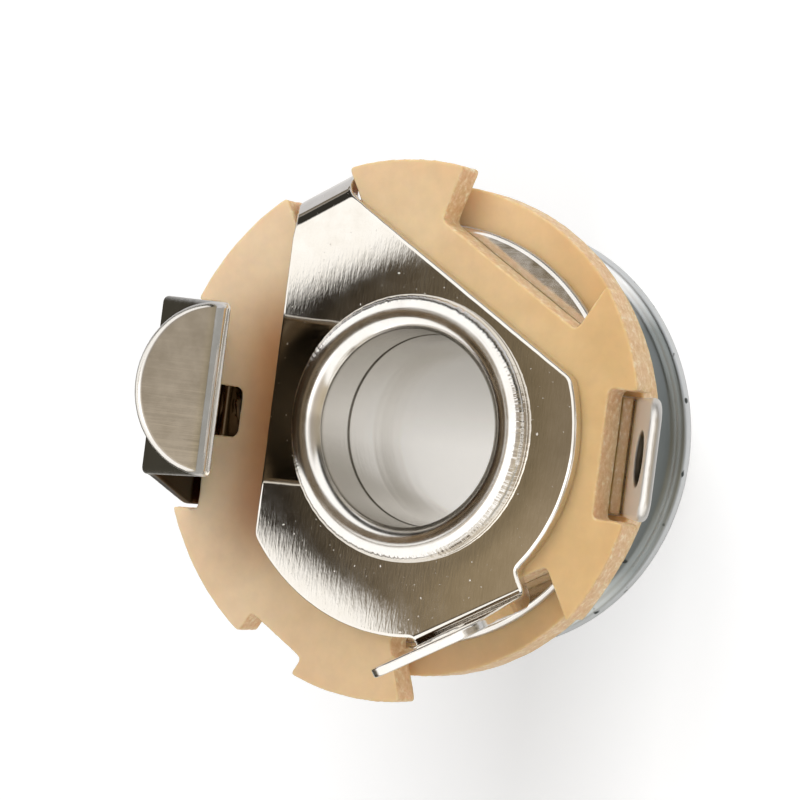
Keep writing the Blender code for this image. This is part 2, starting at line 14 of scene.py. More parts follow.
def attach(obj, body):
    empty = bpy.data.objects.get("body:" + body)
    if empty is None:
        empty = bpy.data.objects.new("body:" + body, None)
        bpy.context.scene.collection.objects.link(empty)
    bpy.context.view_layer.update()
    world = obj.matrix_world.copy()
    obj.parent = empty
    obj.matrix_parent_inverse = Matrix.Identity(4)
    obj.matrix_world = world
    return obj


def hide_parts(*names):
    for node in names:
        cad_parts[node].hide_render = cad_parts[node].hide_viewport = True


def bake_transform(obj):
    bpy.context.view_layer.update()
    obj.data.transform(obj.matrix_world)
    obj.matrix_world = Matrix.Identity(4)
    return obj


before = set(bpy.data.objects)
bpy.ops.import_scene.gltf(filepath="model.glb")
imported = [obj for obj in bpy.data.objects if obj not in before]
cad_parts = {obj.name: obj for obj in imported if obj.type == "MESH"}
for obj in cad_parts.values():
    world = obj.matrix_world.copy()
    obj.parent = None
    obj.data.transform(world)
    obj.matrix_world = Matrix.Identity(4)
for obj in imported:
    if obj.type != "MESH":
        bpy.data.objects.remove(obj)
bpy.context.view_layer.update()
bpy.context.scene.view_settings.view_transform = "Standard"


# Camera: held about 110 mm away, 30 degrees off the bore's axis towards +X,
# with the frame turned a little so that the tip lug points right.
CAMERA_AT = Vector((0.05376, 0.000877, 0.10903))
CAMERA_RIGHT = Vector((0.863, 0.127, -0.490))
CAMERA_UP = Vector((-0.110, 0.992, 0.063))

lens = bpy.data.cameras.new("camera")
lens.lens = 142.56
lens.sensor_width = 36.0
lens.clip_start = 0.005
lens.clip_end = 10.0
camera = bpy.data.objects.new("camera", lens)
bpy.context.scene.collection.objects.link(camera)
backwards = CAMERA_RIGHT.cross(CAMERA_UP).normalized()
upwards = backwards.cross(CAMERA_RIGHT).normalized()
sideways = upwards.cross(backwards)
camera.matrix_world = Matrix.Translation(CAMERA_AT) @ Matrix(
    (sideways, upwards, backwards)).transposed().to_4x4()
bpy.context.scene.camera = camera


# Bushing: turned from brass bar and bright nickel plated, with an M9 x 0.75
# thread cut on its barrel. Its rear end is rolled over the ground plate, which
# leaves a fluted outer slope, a bright crest and a funnel down to the bore.
BORE_R = 3.25
NECK_R = 3.75
THREAD_R = 4.5
THREAD_PITCH = 0.75
THREAD_DEPTH = 0.46
THREAD_END = 7.60
RELIEF_R = 4.40
COLLAR_R = 5.2
COLLAR_LOW = 8.15
COLLAR_HIGH = 9.33
ROLL_FOOT = 13.53
ROLL_MIDDLE = (4.13, 13.60)
ROLL_HALF = (0.52, 0.47)
FUNNEL_R = 0.77
EDGE = 0.08
BUSHING_COLUMNS = 192


def linear(code, alpha=1.0):
    """The linear colour of an sRGB hex code such as #8A9290."""
    values = [int(code[i:i + 2], 16) / 255 for i in (1, 3, 5)]
    return tuple(v / 12.92 if v <= 0.04045 else ((v + 0.055) / 1.055) ** 2.4 for v in values) + (alpha,)


def add(tree, kind, sockets=None, stops=(), **settings):
    """Adds a shader node of a kind: settings go on it, and stops fill its colour ramp.

    sockets take values, other nodes' outputs, or nodes, which give their first output.
    """
    node = tree.nodes.new("ShaderNode" + kind)
    for name, value in settings.items():
        setattr(node, name, value)
    for key, value in (sockets or {}).items():
        if isinstance(value, bpy.types.Node):
            value = value.outputs[0]
        if isinstance(value, bpy.types.NodeSocket):
            tree.links.new(value, node.inputs[key])
        else:
            node.inputs[key].default_value = value
    if stops:
        elements = node.color_ramp.elements
        while len(elements) < len(stops):
            elements.new(0.5)
        for element, (position, colour) in zip(elements, stops):
            element.position = position
            element.color = colour
    return node


def start_material(name):
    """An empty node material, its Principled shader and its Object coordinates."""
    material = bpy.data.materials.new(name)
    material.use_nodes = True
    tree = material.node_tree
    shader = tree.nodes["Principled BSDF"]
    place = add(tree, "TexCoord").outputs["Object"]
    return material, tree, shader, place


def grey(level):
    """A plain grey for masks and roughness, already linear."""
    return (level, level, level, 1.0)


def surface(name, points, closed_u=False, closed_v=False, flip=False):
    """A grid of points, shape (rows, columns, 3) in millimetres, made a smooth mesh object.

    closed_u joins the last column to the first, closed_v the last row to the first.
    """
    rows, columns = points.shape[:2]
    j = np.arange(rows if closed_v else rows - 1)[:, None]
    i = np.arange(columns if closed_u else columns - 1)[None, :]
    here = j * columns + i
    right = j * columns + (i + 1) % columns
    above = ((j + 1) % rows) * columns + i
    across = ((j + 1) % rows) * columns + (i + 1) % columns
    faces = np.stack([here, right, across, above], -1).reshape(-1, 4)
    if flip:
        faces = faces[:, ::-1]
    return mesh_object(name, points.reshape(-1, 3), faces)


def mesh_object(name, points, faces):
    """Links a mesh object from points in millimetres and faces of three or four corners."""
    mesh = bpy.data.meshes.new(name)
    mesh.from_pydata((points * 0.001).tolist(), [], faces.tolist() if hasattr(faces, "tolist") else faces)
    mesh.update()
    mesh.shade_smooth()
    obj = bpy.data.objects.new(name, mesh)
    bpy.context.scene.collection.objects.link(obj)
    return obj


def smooth_profile(points, step):
    """Points along a broken line of (radius, height), no further apart than a step."""
    points = np.asarray(points, float)
    out = []
    for a, b in zip(points[:-1], points[1:]):
        count = max(1, int(np.ceil(np.linalg.norm(b - a) / step)))
        t = np.arange(count)[:, None] / count
        out.append(a + (b - a) * t)
    out.append(points[-1:])
    return np.concatenate(out)


def revolve(profile, columns):
    """Turns a profile of (radius, height) about Z: x = r cos a, y = r sin a, with a over a full turn."""
    a = np.linspace(0, 2 * np.pi, columns, endpoint=False)
    r = profile[:, 0][:, None]
    z = profile[:, 1][:, None] + 0 * a
    return np.stack([r * np.cos(a), r * np.sin(a), z], -1)


def thread_depth(z, a, pitch=THREAD_PITCH):
    """How deep a right-hand thread is, 0 to 1: a triangle wave of z / pitch - angle / turn, with flats."""
    phase = z / pitch - a / (2 * np.pi)
    wave = np.abs((phase % 1.0) - 0.5) * 2
    return np.clip(1.25 * wave - 0.1, 0.0, 1.0)


def bushing_points():
    """The bushing's closed profile round the axis, with the thread cut into its barrel.

    The crest is part of an ellipse, r = middle + half-width cos t and z = middle +
    half-height sin t, and the funnel inside it part of a circle. The thread takes
    its depth off the radius, and the crest's outer slope ripples by a few sines.
    """
    t = np.linspace(-0.13, math.pi / 2, 24)
    slope = np.linspace(0, math.radians(58), 24)[1:]
    crest_r, crest_z = ROLL_MIDDLE
    crest = np.stack([crest_r + ROLL_HALF[0] * np.cos(t), crest_z + ROLL_HALF[1] * np.sin(t)], -1)
    top = crest_z + ROLL_HALF[1]
    inner = np.stack([crest_r - FUNNEL_R * np.sin(slope), top - FUNNEL_R * (1 - np.cos(slope))], -1)
    roll = np.concatenate([crest, inner, [(3.45, 13.68), (3.435, 13.62)]])
    bore = [
        (3.43, 13.50), (3.395, 11.85), (3.37, 11.83), (3.37, 10.1), (3.35, 9.6), (3.30, 8.8), (3.27, 8.2),
        (BORE_R, 7.4), (BORE_R, 0.42), (BORE_R + 0.25, 0.0)]
    barrel = [(THREAD_R - 0.3, 0.0), (THREAD_R, 0.3), (THREAD_R, THREAD_END), (RELIEF_R, THREAD_END + 0.12)]
    collar = [(RELIEF_R, COLLAR_LOW), (COLLAR_R - EDGE, COLLAR_LOW), (COLLAR_R, COLLAR_LOW + EDGE),
              (COLLAR_R, COLLAR_HIGH - EDGE), (COLLAR_R - EDGE, COLLAR_HIGH), (NECK_R, COLLAR_HIGH)]
    outside = smooth_profile(barrel + collar + [(NECK_R, ROLL_FOOT)], 0.05)[1:-1]
    foot = smooth_profile([(NECK_R, ROLL_FOOT), (NECK_R + 0.8, ROLL_FOOT)], 0.2)
    profile = np.concatenate([foot, roll, smooth_profile(bore, 0.09), outside])
    points = revolve(profile, BUSHING_COLUMNS)
    a = np.linspace(0, 2 * np.pi, BUSHING_COLUMNS, endpoint=False)
    z = points[..., 2]
    r = np.hypot(points[..., 0], points[..., 1])
    threaded = np.clip(z / 0.4, 0, 1) * np.clip((THREAD_END - z) / 0.5, 0, 1) * (r > THREAD_R - 0.2)
    cut = THREAD_DEPTH * thread_depth(z, a) * threaded
    rolled = np.clip((z - 13.62) / 0.2, 0, 1) * np.clip((r - 4.35) / 0.12, 0, 1)
    ripple = 0.012 * np.sin(96 * a) + 0.010 * np.sin(61 * a + 1.0) + 0.012 * np.sin(5 * a)
    new_r = r - cut + rolled * ripple
    points[..., 0] *= new_r / r
    points[..., 1] *= new_r / r
    return points


bushing = surface("bushing_turned", bushing_points(), closed_u=True, closed_v=True)

# Bright nickel plate on turned brass: bright but soft, slightly warm, with fine
# turning marks round the axis. The bore is satin; painted light makes its plate paler than the outside, and
# painted shade darkens it along its top.
# A noise's scale counts its waves in a metre: 900 gives clouds 1.1 mm across.
# The turning marks are drawn 0.1 mm apart, coarser than real ones, to show.
nickel_turned, tree, shader, place = start_material("bright_nickel_plate_turned")
parts = add(tree, "SeparateXYZ", {"Vector": place})
angle = add(tree, "Math", {0: parts.outputs["Y"], 1: parts.outputs["X"]}, operation="ARCTAN2")
flat = add(tree, "VectorMath", {0: place, 1: (1, 1, 0)}, operation="MULTIPLY")
radius = add(tree, "VectorMath", {0: flat.outputs["Vector"]}, operation="LENGTH")
turned_place = add(tree, "CombineXYZ", {"X": angle, "Y": radius.outputs["Value"], "Z": parts.outputs["Z"]})
marks = add(tree, "Mapping", {"Vector": turned_place, "Scale": (0.6, 9000.0, 9000.0)})
lathe = add(tree, "TexNoise", {"Vector": marks, "Scale": 1.0, "Detail": 2.0})
flutes = add(tree, "Mapping", {"Vector": turned_place, "Scale": (42.0, 700.0, 700.0)})
fluted = add(tree, "TexNoise", {"Vector": flutes, "Scale": 1.0, "Detail": 2.0})
slope = add(
    tree, "ValToRGB",
    {"Fac": add(tree, "MapRange", {"Value": radius.outputs["Value"], 1: 0.0042, 2: 0.0047})},
    stops=[(0.15, grey(0.0)), (0.45, grey(1.0))])
rear_end = add(
    tree, "ValToRGB", {"Fac": add(tree, "MapRange", {"Value": parts.outputs["Z"], 1: 0.0134, 2: 0.0142})},
    stops=[(0.05, grey(0.0)), (0.15, grey(1.0))])
on_slope = add(tree, "Math", {0: slope, 1: rear_end}, operation="MULTIPLY")
haze = add(tree, "TexNoise", {"Vector": place, "Scale": 900.0, "Detail": 4.0, "Roughness": 0.6})
plated = add(
    tree, "ValToRGB", {"Fac": haze.outputs["Fac"]},
    stops=[(0.3, linear("#DFDBD5")), (0.7, linear("#EAE7E2"))])
bright = add(
    tree, "ValToRGB", {"Fac": haze.outputs["Fac"]},
    stops=[(0.35, grey(0.15)), (0.75, grey(0.24))])
in_bore = add(tree, "MapRange", {"Value": radius.outputs["Value"], 1: 0.00348, 2: 0.00343})
# Painted shade: the bore darkens towards its top, +Y.
bore_top_painted_shade = add(tree, "MapRange", {"Value": parts.outputs["Y"], 1: -0.0006, 2: 0.0028})
bore_top_painted_shade = add(tree, "Math", {0: bore_top_painted_shade, 1: in_bore}, operation="MULTIPLY")
# Painted light: the bore's plate is made paler than the outside.
bore_painted_light = add(tree, "Mix", {"Factor": in_bore, 6: plated, 7: linear("#F5F2ED")}, data_type="RGBA")
bore_painted_tone = add(tree, "Mix", {"Factor": bore_top_painted_shade, 6: bore_painted_light.outputs[2], 7: linear("#AEA9A0")}, data_type="RGBA")
tree.links.new(bore_painted_tone.outputs[2], shader.inputs["Base Color"])
polish = add(tree, "Mix", {"Factor": in_bore, 6: bright, 7: grey(0.27)}, data_type="RGBA")
tree.links.new(polish.outputs[2], shader.inputs["Roughness"])
turned_marks = add(tree, "Bump", {"Strength": 0.08, "Distance": 0.00002, "Height": lathe.outputs["Fac"]})
deep = add(tree, "Math", {0: fluted.outputs["Fac"], 1: on_slope}, operation="MULTIPLY")
relief = add(
    tree, "Bump",
    {"Strength": 0.5, "Distance": 0.00006, "Height": deep, "Normal": turned_marks.outputs["Normal"]})
tree.links.new(relief.outputs["Normal"], shader.inputs["Normal"])
shader.inputs["Metallic"].default_value = 1.0
bushing.data.materials.append(nickel_turned)
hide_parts("bushing")
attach(bushing, "stack")


# Front cup: steel sheet pressed into a dish, its brim against the panel, and
# zinc plated with a blue passivation, so it is greyer and duller than nickel.
CUP_MIDDLE_Y = 0.1


def cup_points():
    """The cup's sheet as a closed profile round the axis: crown, flared skirt and narrow brim."""
    profile = [
        (3.9, 10.19), (5.9, 10.19), (6.10, 10.16), (6.24, 10.06), (6.32, 9.92), (6.40, 9.70), (6.75, 8.75),
        (7.06, 7.90), (7.13, 7.72), (7.19, 7.60), (7.25, 7.52), (7.32, 7.47), (7.40, 7.44), (7.49, 7.415),
        (7.57, 7.37), (7.63, 7.30), (7.67, 7.21), (7.69, 7.10), (7.70, 6.96), (7.68, 6.86), (7.64, 6.81),
        (7.60, 6.80), (7.00, 6.80), (6.88, 6.84), (6.80, 6.95), (6.62, 7.50), (6.10, 8.90), (5.82, 9.50),
        (5.74, 9.56), (5.60, 9.59), (3.9, 9.59), (3.9, 10.19)]
    points = revolve(smooth_profile(profile, 0.12)[:-1], 192)
    points[..., 1] += CUP_MIDDLE_Y
    return points


cup = surface("front_cup_pressed", cup_points(), closed_u=True, closed_v=True, flip=True)

# Zinc plate, passivated blue: satin blue-grey and cloudy, with a few dark
# specks, and painted highlights that make it paler at the brim and towards the top and the foot.
zinc, tree, shader, place = start_material("blue_passivated_zinc_plate")
cloud = add(tree, "TexNoise", {"Vector": place, "Scale": 420.0, "Detail": 5.0, "Roughness": 0.6})
spots = add(tree, "TexNoise", {"Vector": place, "Scale": 1500.0, "Detail": 2.0})
parts = add(tree, "SeparateXYZ", {"Vector": place})
# Painted highlights: the plate is paler towards the top (+Y) and the foot (-Y).
up = add(tree, "MapRange", {"Value": parts.outputs["Y"], 1: -0.008, 2: 0.008})
painted_sheen_by_height = add(
    tree, "ValToRGB", {"Fac": up},
    stops=[
        (0.0, linear("#C9CBC8")), (0.17, linear("#B4B7B4")), (0.25, linear("#8B908F")),
        (0.78, linear("#8B908F")), (0.83, linear("#C2C5C5")), (0.88, linear("#F2F3F3"))])
cloudy = add(
    tree, "ValToRGB", {"Fac": cloud.outputs["Fac"]},
    stops=[(0.3, grey(0.88)), (0.7, grey(1.0))])
dull = add(tree, "Mix", {"Factor": 1.0, 6: painted_sheen_by_height, 7: cloudy}, data_type="RGBA", blend_type="MULTIPLY")
flat = add(tree, "VectorMath", {0: place, 1: (0, CUP_MIDDLE_Y * 0.001, 0)}, operation="SUBTRACT")
flat = add(tree, "VectorMath", {0: flat.outputs["Vector"], 1: (1, 1, 0)}, operation="MULTIPLY")
reach = add(tree, "VectorMath", {0: flat.outputs["Vector"]}, operation="LENGTH")
# Painted highlight: a bright line round the brim, past 7.6 mm from its middle.
brim = add(tree, "MapRange", {"Value": reach.outputs["Value"], 1: 0.00760, 2: 0.00767})
tone = add(
    tree, "Mix", {"Factor": brim, 6: dull.outputs[2], 7: linear("#DADCDC")}, data_type="RGBA").outputs[2]
speck = add(
    tree, "ValToRGB", {"Fac": spots.outputs["Fac"]},
    stops=[(0.66, grey(0.0)), (0.70, grey(1.0))])
dirty = add(tree, "Mix", {"Factor": speck, 6: tone, 7: linear("#4A4E4C")}, data_type="RGBA")
tree.links.new(dirty.outputs[2], shader.inputs["Base Color"])
tree.links.new(
    add(
        tree, "ValToRGB", {"Fac": cloud.outputs["Fac"]},
        stops=[(0.3, grey(0.28)), (0.7, grey(0.42))]).outputs["Color"],
    shader.inputs["Roughness"])
relief = add(tree, "Bump", {"Strength": 0.15, "Distance": 0.00003, "Height": spots.outputs["Fac"]})
tree.links.new(relief.outputs["Normal"], shader.inputs["Normal"])
shader.inputs["Metallic"].default_value = 1.0
cup.data.materials.append(zinc)
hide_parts("front_cup")
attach(cup, "stack")


# Front wafer: a round disc punched from paper phenolic board, with a small flat
# under the tip's lug. Punching leaves its faces smooth and its rim rough.
FRONT_WAFER = {"radius": 8.70, "centre": (-0.7, 0.0), "low": 10.20, "high": 11.40}
FRONT_WAFER_FLAT = 7.88
HOLE_R = 3.9


def arc(radius, start, end, centre=(0.0, 0.0), step=0.08):
    """Points of an arc, both ends included: centre + radius (cos a, sin a)."""
    count = max(2, int(np.ceil(abs(end - start) * radius / step)))
    a = np.linspace(start, end, count + 1)
    return np.stack([centre[0] + radius * np.cos(a), centre[1] + radius * np.sin(a)], -1)


def circle(radius, centre=(0.0, 0.0), clockwise=False):
    """A closed circle, clockwise where it is a hole."""
    points = arc(radius, 0.0, 2 * math.pi, centre)[:-1]
    return points[::-1] if clockwise else points


def densify(points, step=0.08):
    """Adds points to a closed outline so that no side is longer than a step."""
    points = np.asarray(points, float)
    following = np.roll(points, -1, axis=0)
    counts = np.maximum(1, np.ceil(np.linalg.norm(following - points, axis=1) / step - 1e-6)).astype(int)
    index = np.repeat(np.arange(len(points)), counts)
    t = ((np.arange(counts.sum()) - np.repeat(np.cumsum(counts) - counts, counts)) / counts[index])[:, None]
    return points[index] * (1 - t) + following[index] * t


def side_normals(loop):
    """Unit normals to the right of a loop's direction, which is away from the sheet."""
    along = np.roll(loop, -1, axis=0) - np.roll(loop, 1, axis=0)
    normal = np.stack([along[:, 1], -along[:, 0]], -1)
    return normal / np.linalg.norm(normal, axis=1, keepdims=True)


def edge_room(loop, width):
    """The share of an edge's width that each point has room for, 1 on straights.

    On a corner it is 0.6 of the corner's own radius over the width, and for
    four points on either side it rises by no more than 0.12 a point.
    """
    before = loop - np.roll(loop, 1, axis=0)
    after = np.roll(loop, -1, axis=0) - loop
    turn = np.arctan2(before[:, 0] * after[:, 1] - before[:, 1] * after[:, 0], (before * after).sum(axis=1))
    radius = np.linalg.norm(after, axis=1) / np.maximum(turn, 1e-3)
    room = np.minimum(1.0, 0.6 * radius / width)
    for _ in range(4):
        room = np.minimum(room, np.minimum(np.roll(room, 1), np.roll(room, -1)) + 0.12)
    return room


def wander(count, perimeter, lengths, rng):
    """Smooth noise round a loop: random values at even stations, one set for each wavelength, averaged."""
    at = np.arange(count) / count
    total = np.zeros(count)
    for length in lengths:
        stations = max(4, int(perimeter / length))
        total += np.interp(at, np.arange(stations) / stations, rng.uniform(-1, 1, stations), period=1.0)
    return total / len(lengths)


def inside(points, loops):
    """Even-odd test of points against all loops at once: counts the sides crossed by a ray towards +X."""
    crossings = np.zeros(len(points), int)
    for loop in loops:
        x1, y1 = loop.T
        x2, y2 = np.roll(loop, -1, axis=0).T
        py = points[:, 1][:, None]
        straddles = (y1 > py) != (y2 > py)
        rise = np.where(y2 == y1, 1e-12, y2 - y1)
        meets = x1 + (py - y1) / rise * (x2 - x1)
        crossings += (straddles & (points[:, 0][:, None] < meets)).sum(axis=1)
    return crossings % 2 == 1


def punched_sheet(
        name, loops, low, high, seed, top, under, soften, ragged, rough, grid=0.35, bends=()):
    """A flat piece punched from sheet, with rounded edges and a cut wall.

    Each loop is a closed outline, anticlockwise outside and clockwise for a hole.
    top and under give the width and the drop of the two quarter-ellipse edges,
    and soften is how often each point is averaged with its neighbours to round
    the corners. ragged moves the loops sideways by noise, and rough dents the
    cut wall. The faces are filled by a Delaunay triangulation over an even grid
    and over extra rows along each bend, given as (direction, root, length). The
    wall's points carry the attribute cut = 1, which fades to 0 over the edges.
    """
    rng = np.random.default_rng(seed)
    walls = 5
    turn = np.radians([0, 15, 32, 50, 70, 90])
    back = turn[::-1]
    wall = np.linspace(low + under[1], high - top[1], walls + 2)[1:-1]
    depth = np.concatenate([under[0] * (1 - np.sin(turn)), np.zeros(walls), top[0] * (1 - np.sin(back))])
    height = np.concatenate([low + under[1] * (1 - np.cos(turn)), wall, high - top[1] * (1 - np.cos(back))])
    rows = len(depth)
    points, faces, cut, first_rows, last_rows, flat_loops = [], [], [], [], [], []
    base = 0
    for loop in loops:
        loop = densify(loop)
        for _ in range(soften):
            loop = (np.roll(loop, 1, axis=0) + 2 * loop + np.roll(loop, -1, axis=0)) / 4
        count = len(loop)
        perimeter = np.linalg.norm(np.roll(loop, -1, axis=0) - loop, axis=1).sum()
        normal = side_normals(loop)
        room = edge_room(loop, max(top[0], under[0]))
        if ragged:
            loop = loop + normal * (ragged * wander(count, perimeter, (1.2, 0.45, 0.2), rng))[:, None]
        dents = np.zeros((rows, count))
        if rough:
            dents[4:-4] = rng.uniform(0, rough, (rows - 8, count)) * (
                0.4 + 0.6 * np.abs(wander(count, perimeter, (0.8, 0.3), rng)))
        moved = loop[None] - normal[None] * (depth[:, None] * room + dents)[..., None]
        solid = np.concatenate([moved, np.broadcast_to(height[:, None, None], (rows, count, 1))], -1)
        points.append(solid.reshape(-1, 3))
        mark = np.ones((rows, count))
        mark[:6] = (turn / turn[-1])[:, None]
        mark[-6:] = (back / turn[-1])[:, None]
        cut.append(mark.ravel())
        j = np.arange(rows - 1)[:, None]
        i = np.arange(count)[None, :]
        ahead = (i + 1) % count
        here = j * count + i + base
        beside = j * count + ahead + base
        faces.append(np.stack([here, beside, beside + count, here + count], -1).reshape(-1, 4))
        first_rows.append(np.arange(count) + base)
        last_rows.append(np.arange(count) + base + (rows - 1) * count)
        flat_loops.append(moved[0] if under[0] > top[0] else moved[-1])
        base += rows * count
    rim = np.concatenate(flat_loops)
    extra = []
    lowest, highest = rim.min(axis=0), rim.max(axis=0)
    x, y = np.meshgrid(
        np.arange(lowest[0], highest[0], grid), np.arange(lowest[1], highest[1], grid * 0.87))
    x = x + (np.arange(x.shape[0]) % 2)[:, None] * grid / 2
    field = np.stack([x.ravel(), y.ravel()], -1)
    reach = np.abs(rim).max() * 1.5
    for direction, root, length in bends:
        ahead = np.array([math.cos(direction), math.sin(direction)])
        beside = np.array([-ahead[1], ahead[0]])
        field = field[~((field @ ahead > root - 0.1) & (field @ ahead < root + length + 0.1))]
        s, t = np.meshgrid(root + length * np.arange(-1, 14) / 12, np.arange(-reach, reach, 0.13))
        extra.append(s.ravel()[:, None] * ahead + t.ravel()[:, None] * beside)
    spare = [(field, 0.14)] + [(line, 0.05) for line in extra]
    kept = []
    for candidates, room in spare:
        candidates = candidates[inside(candidates, flat_loops)]
        near = np.full(len(candidates), np.inf)
        for start in range(0, len(rim), 400):
            gap = np.linalg.norm(candidates[:, None] - rim[None, start:start + 400], axis=-1)
            near = np.minimum(near, gap.min(axis=1))
        kept.append(candidates[near > room])
    kept = np.concatenate(kept)
    flat_points = np.concatenate([rim, kept])
    edges = []
    start = 0
    for loop in flat_loops:
        i = np.arange(len(loop))
        edges.append(np.stack([i, (i + 1) % len(loop)], -1) + start)
        start += len(loop)
    result = delaunay_2d_cdt(
        [Vector(p) for p in flat_points.tolist()], np.concatenate(edges).tolist(), [], 0, 1e-7, True)
    corners = np.array(result[0])
    triangles = np.array(result[2])
    origin = np.array([ids[0] if ids else -1 for ids in result[3]])
    triangles = triangles[inside(corners[triangles].mean(axis=1), flat_loops)]
    triangles = origin[triangles]
    if not (triangles >= 0).all():
        raise AssertionError(name + str(corners[origin < 0].round(3).tolist()))
    top_kept = np.concatenate([kept, np.full((len(kept), 1), high)], -1)
    low_kept = np.concatenate([kept, np.full((len(kept), 1), low)], -1)
    points += [low_kept, top_kept]
    cut += [np.zeros(2 * len(kept))]
    low_ids = np.concatenate(first_rows + [np.arange(len(kept)) + base])
    top_ids = np.concatenate(last_rows + [np.arange(len(kept)) + base + len(kept)])
    all_faces = np.concatenate(faces).tolist()
    all_faces += top_ids[triangles].tolist() + low_ids[triangles][:, ::-1].tolist()
    return np.concatenate(points), all_faces, np.concatenate(cut), first_rows + last_rows


def sheet_object(name, points, faces, cut, rims):
    """Makes the sheet a mesh object, with its cap edges sharp and its cut attribute kept."""
    obj = mesh_object(name, points, faces)
    mesh = obj.data
    group = np.full(len(points), -1)
    for k, rim in enumerate(rims):
        group[rim] = k
    ends = np.empty(len(mesh.edges) * 2, int)
    mesh.edges.foreach_get("vertices", ends)
    ends = ends.reshape(-1, 2)
    side = group[ends]
    step = np.abs(ends[:, 0] - ends[:, 1])
    sizes = np.array([len(rim) for rim in rims] + [0])[side[:, 0]]
    sharp = (side[:, 0] >= 0) & (side[:, 0] == side[:, 1]) & ((step == 1) | (step == sizes - 1))
    mesh.attributes.new("sharp_edge", "BOOLEAN", "EDGE").data.foreach_set("value", sharp)
    mesh.attributes.new("cut", "FLOAT", "POINT").data.foreach_set("value", cut)
    return obj


front_rim = circle(FRONT_WAFER["radius"], FRONT_WAFER["centre"])
front_rim[:, 0] = np.minimum(front_rim[:, 0], FRONT_WAFER_FLAT)
points, faces, cut, rims = punched_sheet(
    "front_wafer", [front_rim, circle(HOLE_R, clockwise=True)], FRONT_WAFER["low"], FRONT_WAFER["high"],
    seed=3, top=(0.10, 0.08), under=(0.05, 0.05), soften=6, ragged=0.02, rough=0.05)
front_wafer = sheet_object("front_wafer_board", points, faces, cut, rims)

# Paper phenolic board: matt pinkish tan resin, smooth, with a faint cloudy mottle;
# painted light makes it lighter and paler towards -X, and painted shade browns it
# between the spring and the plate. The cut wall is nearly the same tan, granular, with pale flecks.
phenolic, tree, shader, place = start_material("paper_phenolic_board")
cloud = add(tree, "TexNoise", {"Vector": place, "Scale": 230.0, "Detail": 3.0, "Roughness": 0.55})
grain = add(tree, "TexNoise", {"Vector": place, "Scale": 4200.0, "Detail": 3.0, "Roughness": 0.7})
mottle = add(tree, "TexNoise", {"Vector": place, "Scale": 1600.0, "Detail": 3.0, "Roughness": 0.6})
parts = add(tree, "SeparateXYZ", {"Vector": place})
# Painted light: the face is lighter and paler towards -X, deeper yellow towards +X.
across = add(tree, "MapRange", {"Value": parts.outputs["X"], 1: -0.008, 2: 0.007})
pale_tone = add(
    tree, "ValToRGB", {"Fac": cloud.outputs["Fac"]},
    stops=[(0.35, linear("#E6C8A2")), (0.65, linear("#EDD3AF"))])
deep_tone = add(
    tree, "ValToRGB", {"Fac": cloud.outputs["Fac"]},
    stops=[(0.35, linear("#DAB47C")), (0.65, linear("#E2BF89"))])
face_tone = add(tree, "Mix", {"Factor": across, 6: pale_tone, 7: deep_tone}, data_type="RGBA")
# Painted shade: the board is browned between the spring's foot and the plate's left edge.
shade_near_plate = add(
    tree, "MapRange", {"Value": parts.outputs["X"], 1: -0.0084, 2: -0.0060},
    interpolation_type="SMOOTHSTEP")
aside = add(tree, "Math", {0: parts.outputs["Y"], 1: 0.0006}, operation="ADD")
aside = add(tree, "Math", {0: aside}, operation="ABSOLUTE")
middle = add(tree, "MapRange", {"Value": aside, 1: 0.0062, 2: 0.0026}, interpolation_type="SMOOTHSTEP")
left = add(tree, "MapRange", {"Value": parts.outputs["X"], 1: -0.0040, 2: -0.0050})
board_painted_shade = add(tree, "Math", {0: shade_near_plate, 1: middle}, operation="MULTIPLY")
board_painted_shade = add(tree, "Math", {0: board_painted_shade, 1: left}, operation="MULTIPLY")
face_tone = add(
    tree, "Mix", {"Factor": board_painted_shade, 6: face_tone.outputs[2], 7: linear("#B07F54")}, data_type="RGBA")
fine_tone = add(
    tree, "ValToRGB", {"Fac": mottle.outputs["Fac"]},
    stops=[(0.35, grey(0.94)), (0.65, grey(1.0))])
faced = add(
    tree, "Mix", {"Factor": 1.0, 6: face_tone.outputs[2], 7: fine_tone}, data_type="RGBA",
    blend_type="MULTIPLY")
cut_tone = add(
    tree, "ValToRGB", {"Fac": grain.outputs["Fac"]},
    stops=[
        (0.30, linear("#D6AC7C")), (0.55, linear("#E6C497")), (0.72, linear("#F6E6C8"))])
cut_mark = add(tree, "Attribute", attribute_name="cut")
board = add(
    tree, "Mix", {"Factor": cut_mark.outputs["Fac"], 6: faced.outputs[2], 7: cut_tone}, data_type="RGBA")
tree.links.new(board.outputs[2], shader.inputs["Base Color"])
tree.links.new(
    add(
        tree, "ValToRGB", {"Fac": mottle.outputs["Fac"]},
        stops=[(0.3, grey(0.46)), (0.7, grey(0.58))]).outputs["Color"],
    shader.inputs["Roughness"])
weight = add(
    tree, "ValToRGB", {"Fac": cut_mark.outputs["Fac"]},
    stops=[(0.0, grey(0.10)), (1.0, grey(1.0))])
height = add(tree, "Math", {0: grain.outputs["Fac"], 1: weight}, operation="MULTIPLY")
relief = add(tree, "Bump", {"Strength": 0.5, "Distance": 0.00006, "Height": height})
tree.links.new(relief.outputs["Normal"], shader.inputs["Normal"])
shader.inputs["Subsurface Weight"].default_value = 0.35
shader.inputs["Subsurface Radius"].default_value = (1.0, 0.42, 0.16)
shader.inputs["Subsurface Scale"].default_value = 0.0009
front_wafer.data.materials.append(phenolic)
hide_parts("front_insulator")
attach(front_wafer, "stack")


# Spacer ring: a small ring of the same board, hidden between the wafers. The
# model's own solid is the right shape, so it stays and takes the board's finish.
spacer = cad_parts["spacer_ring"]
spacer.data.materials.clear()
spacer.data.materials.append(phenolic)


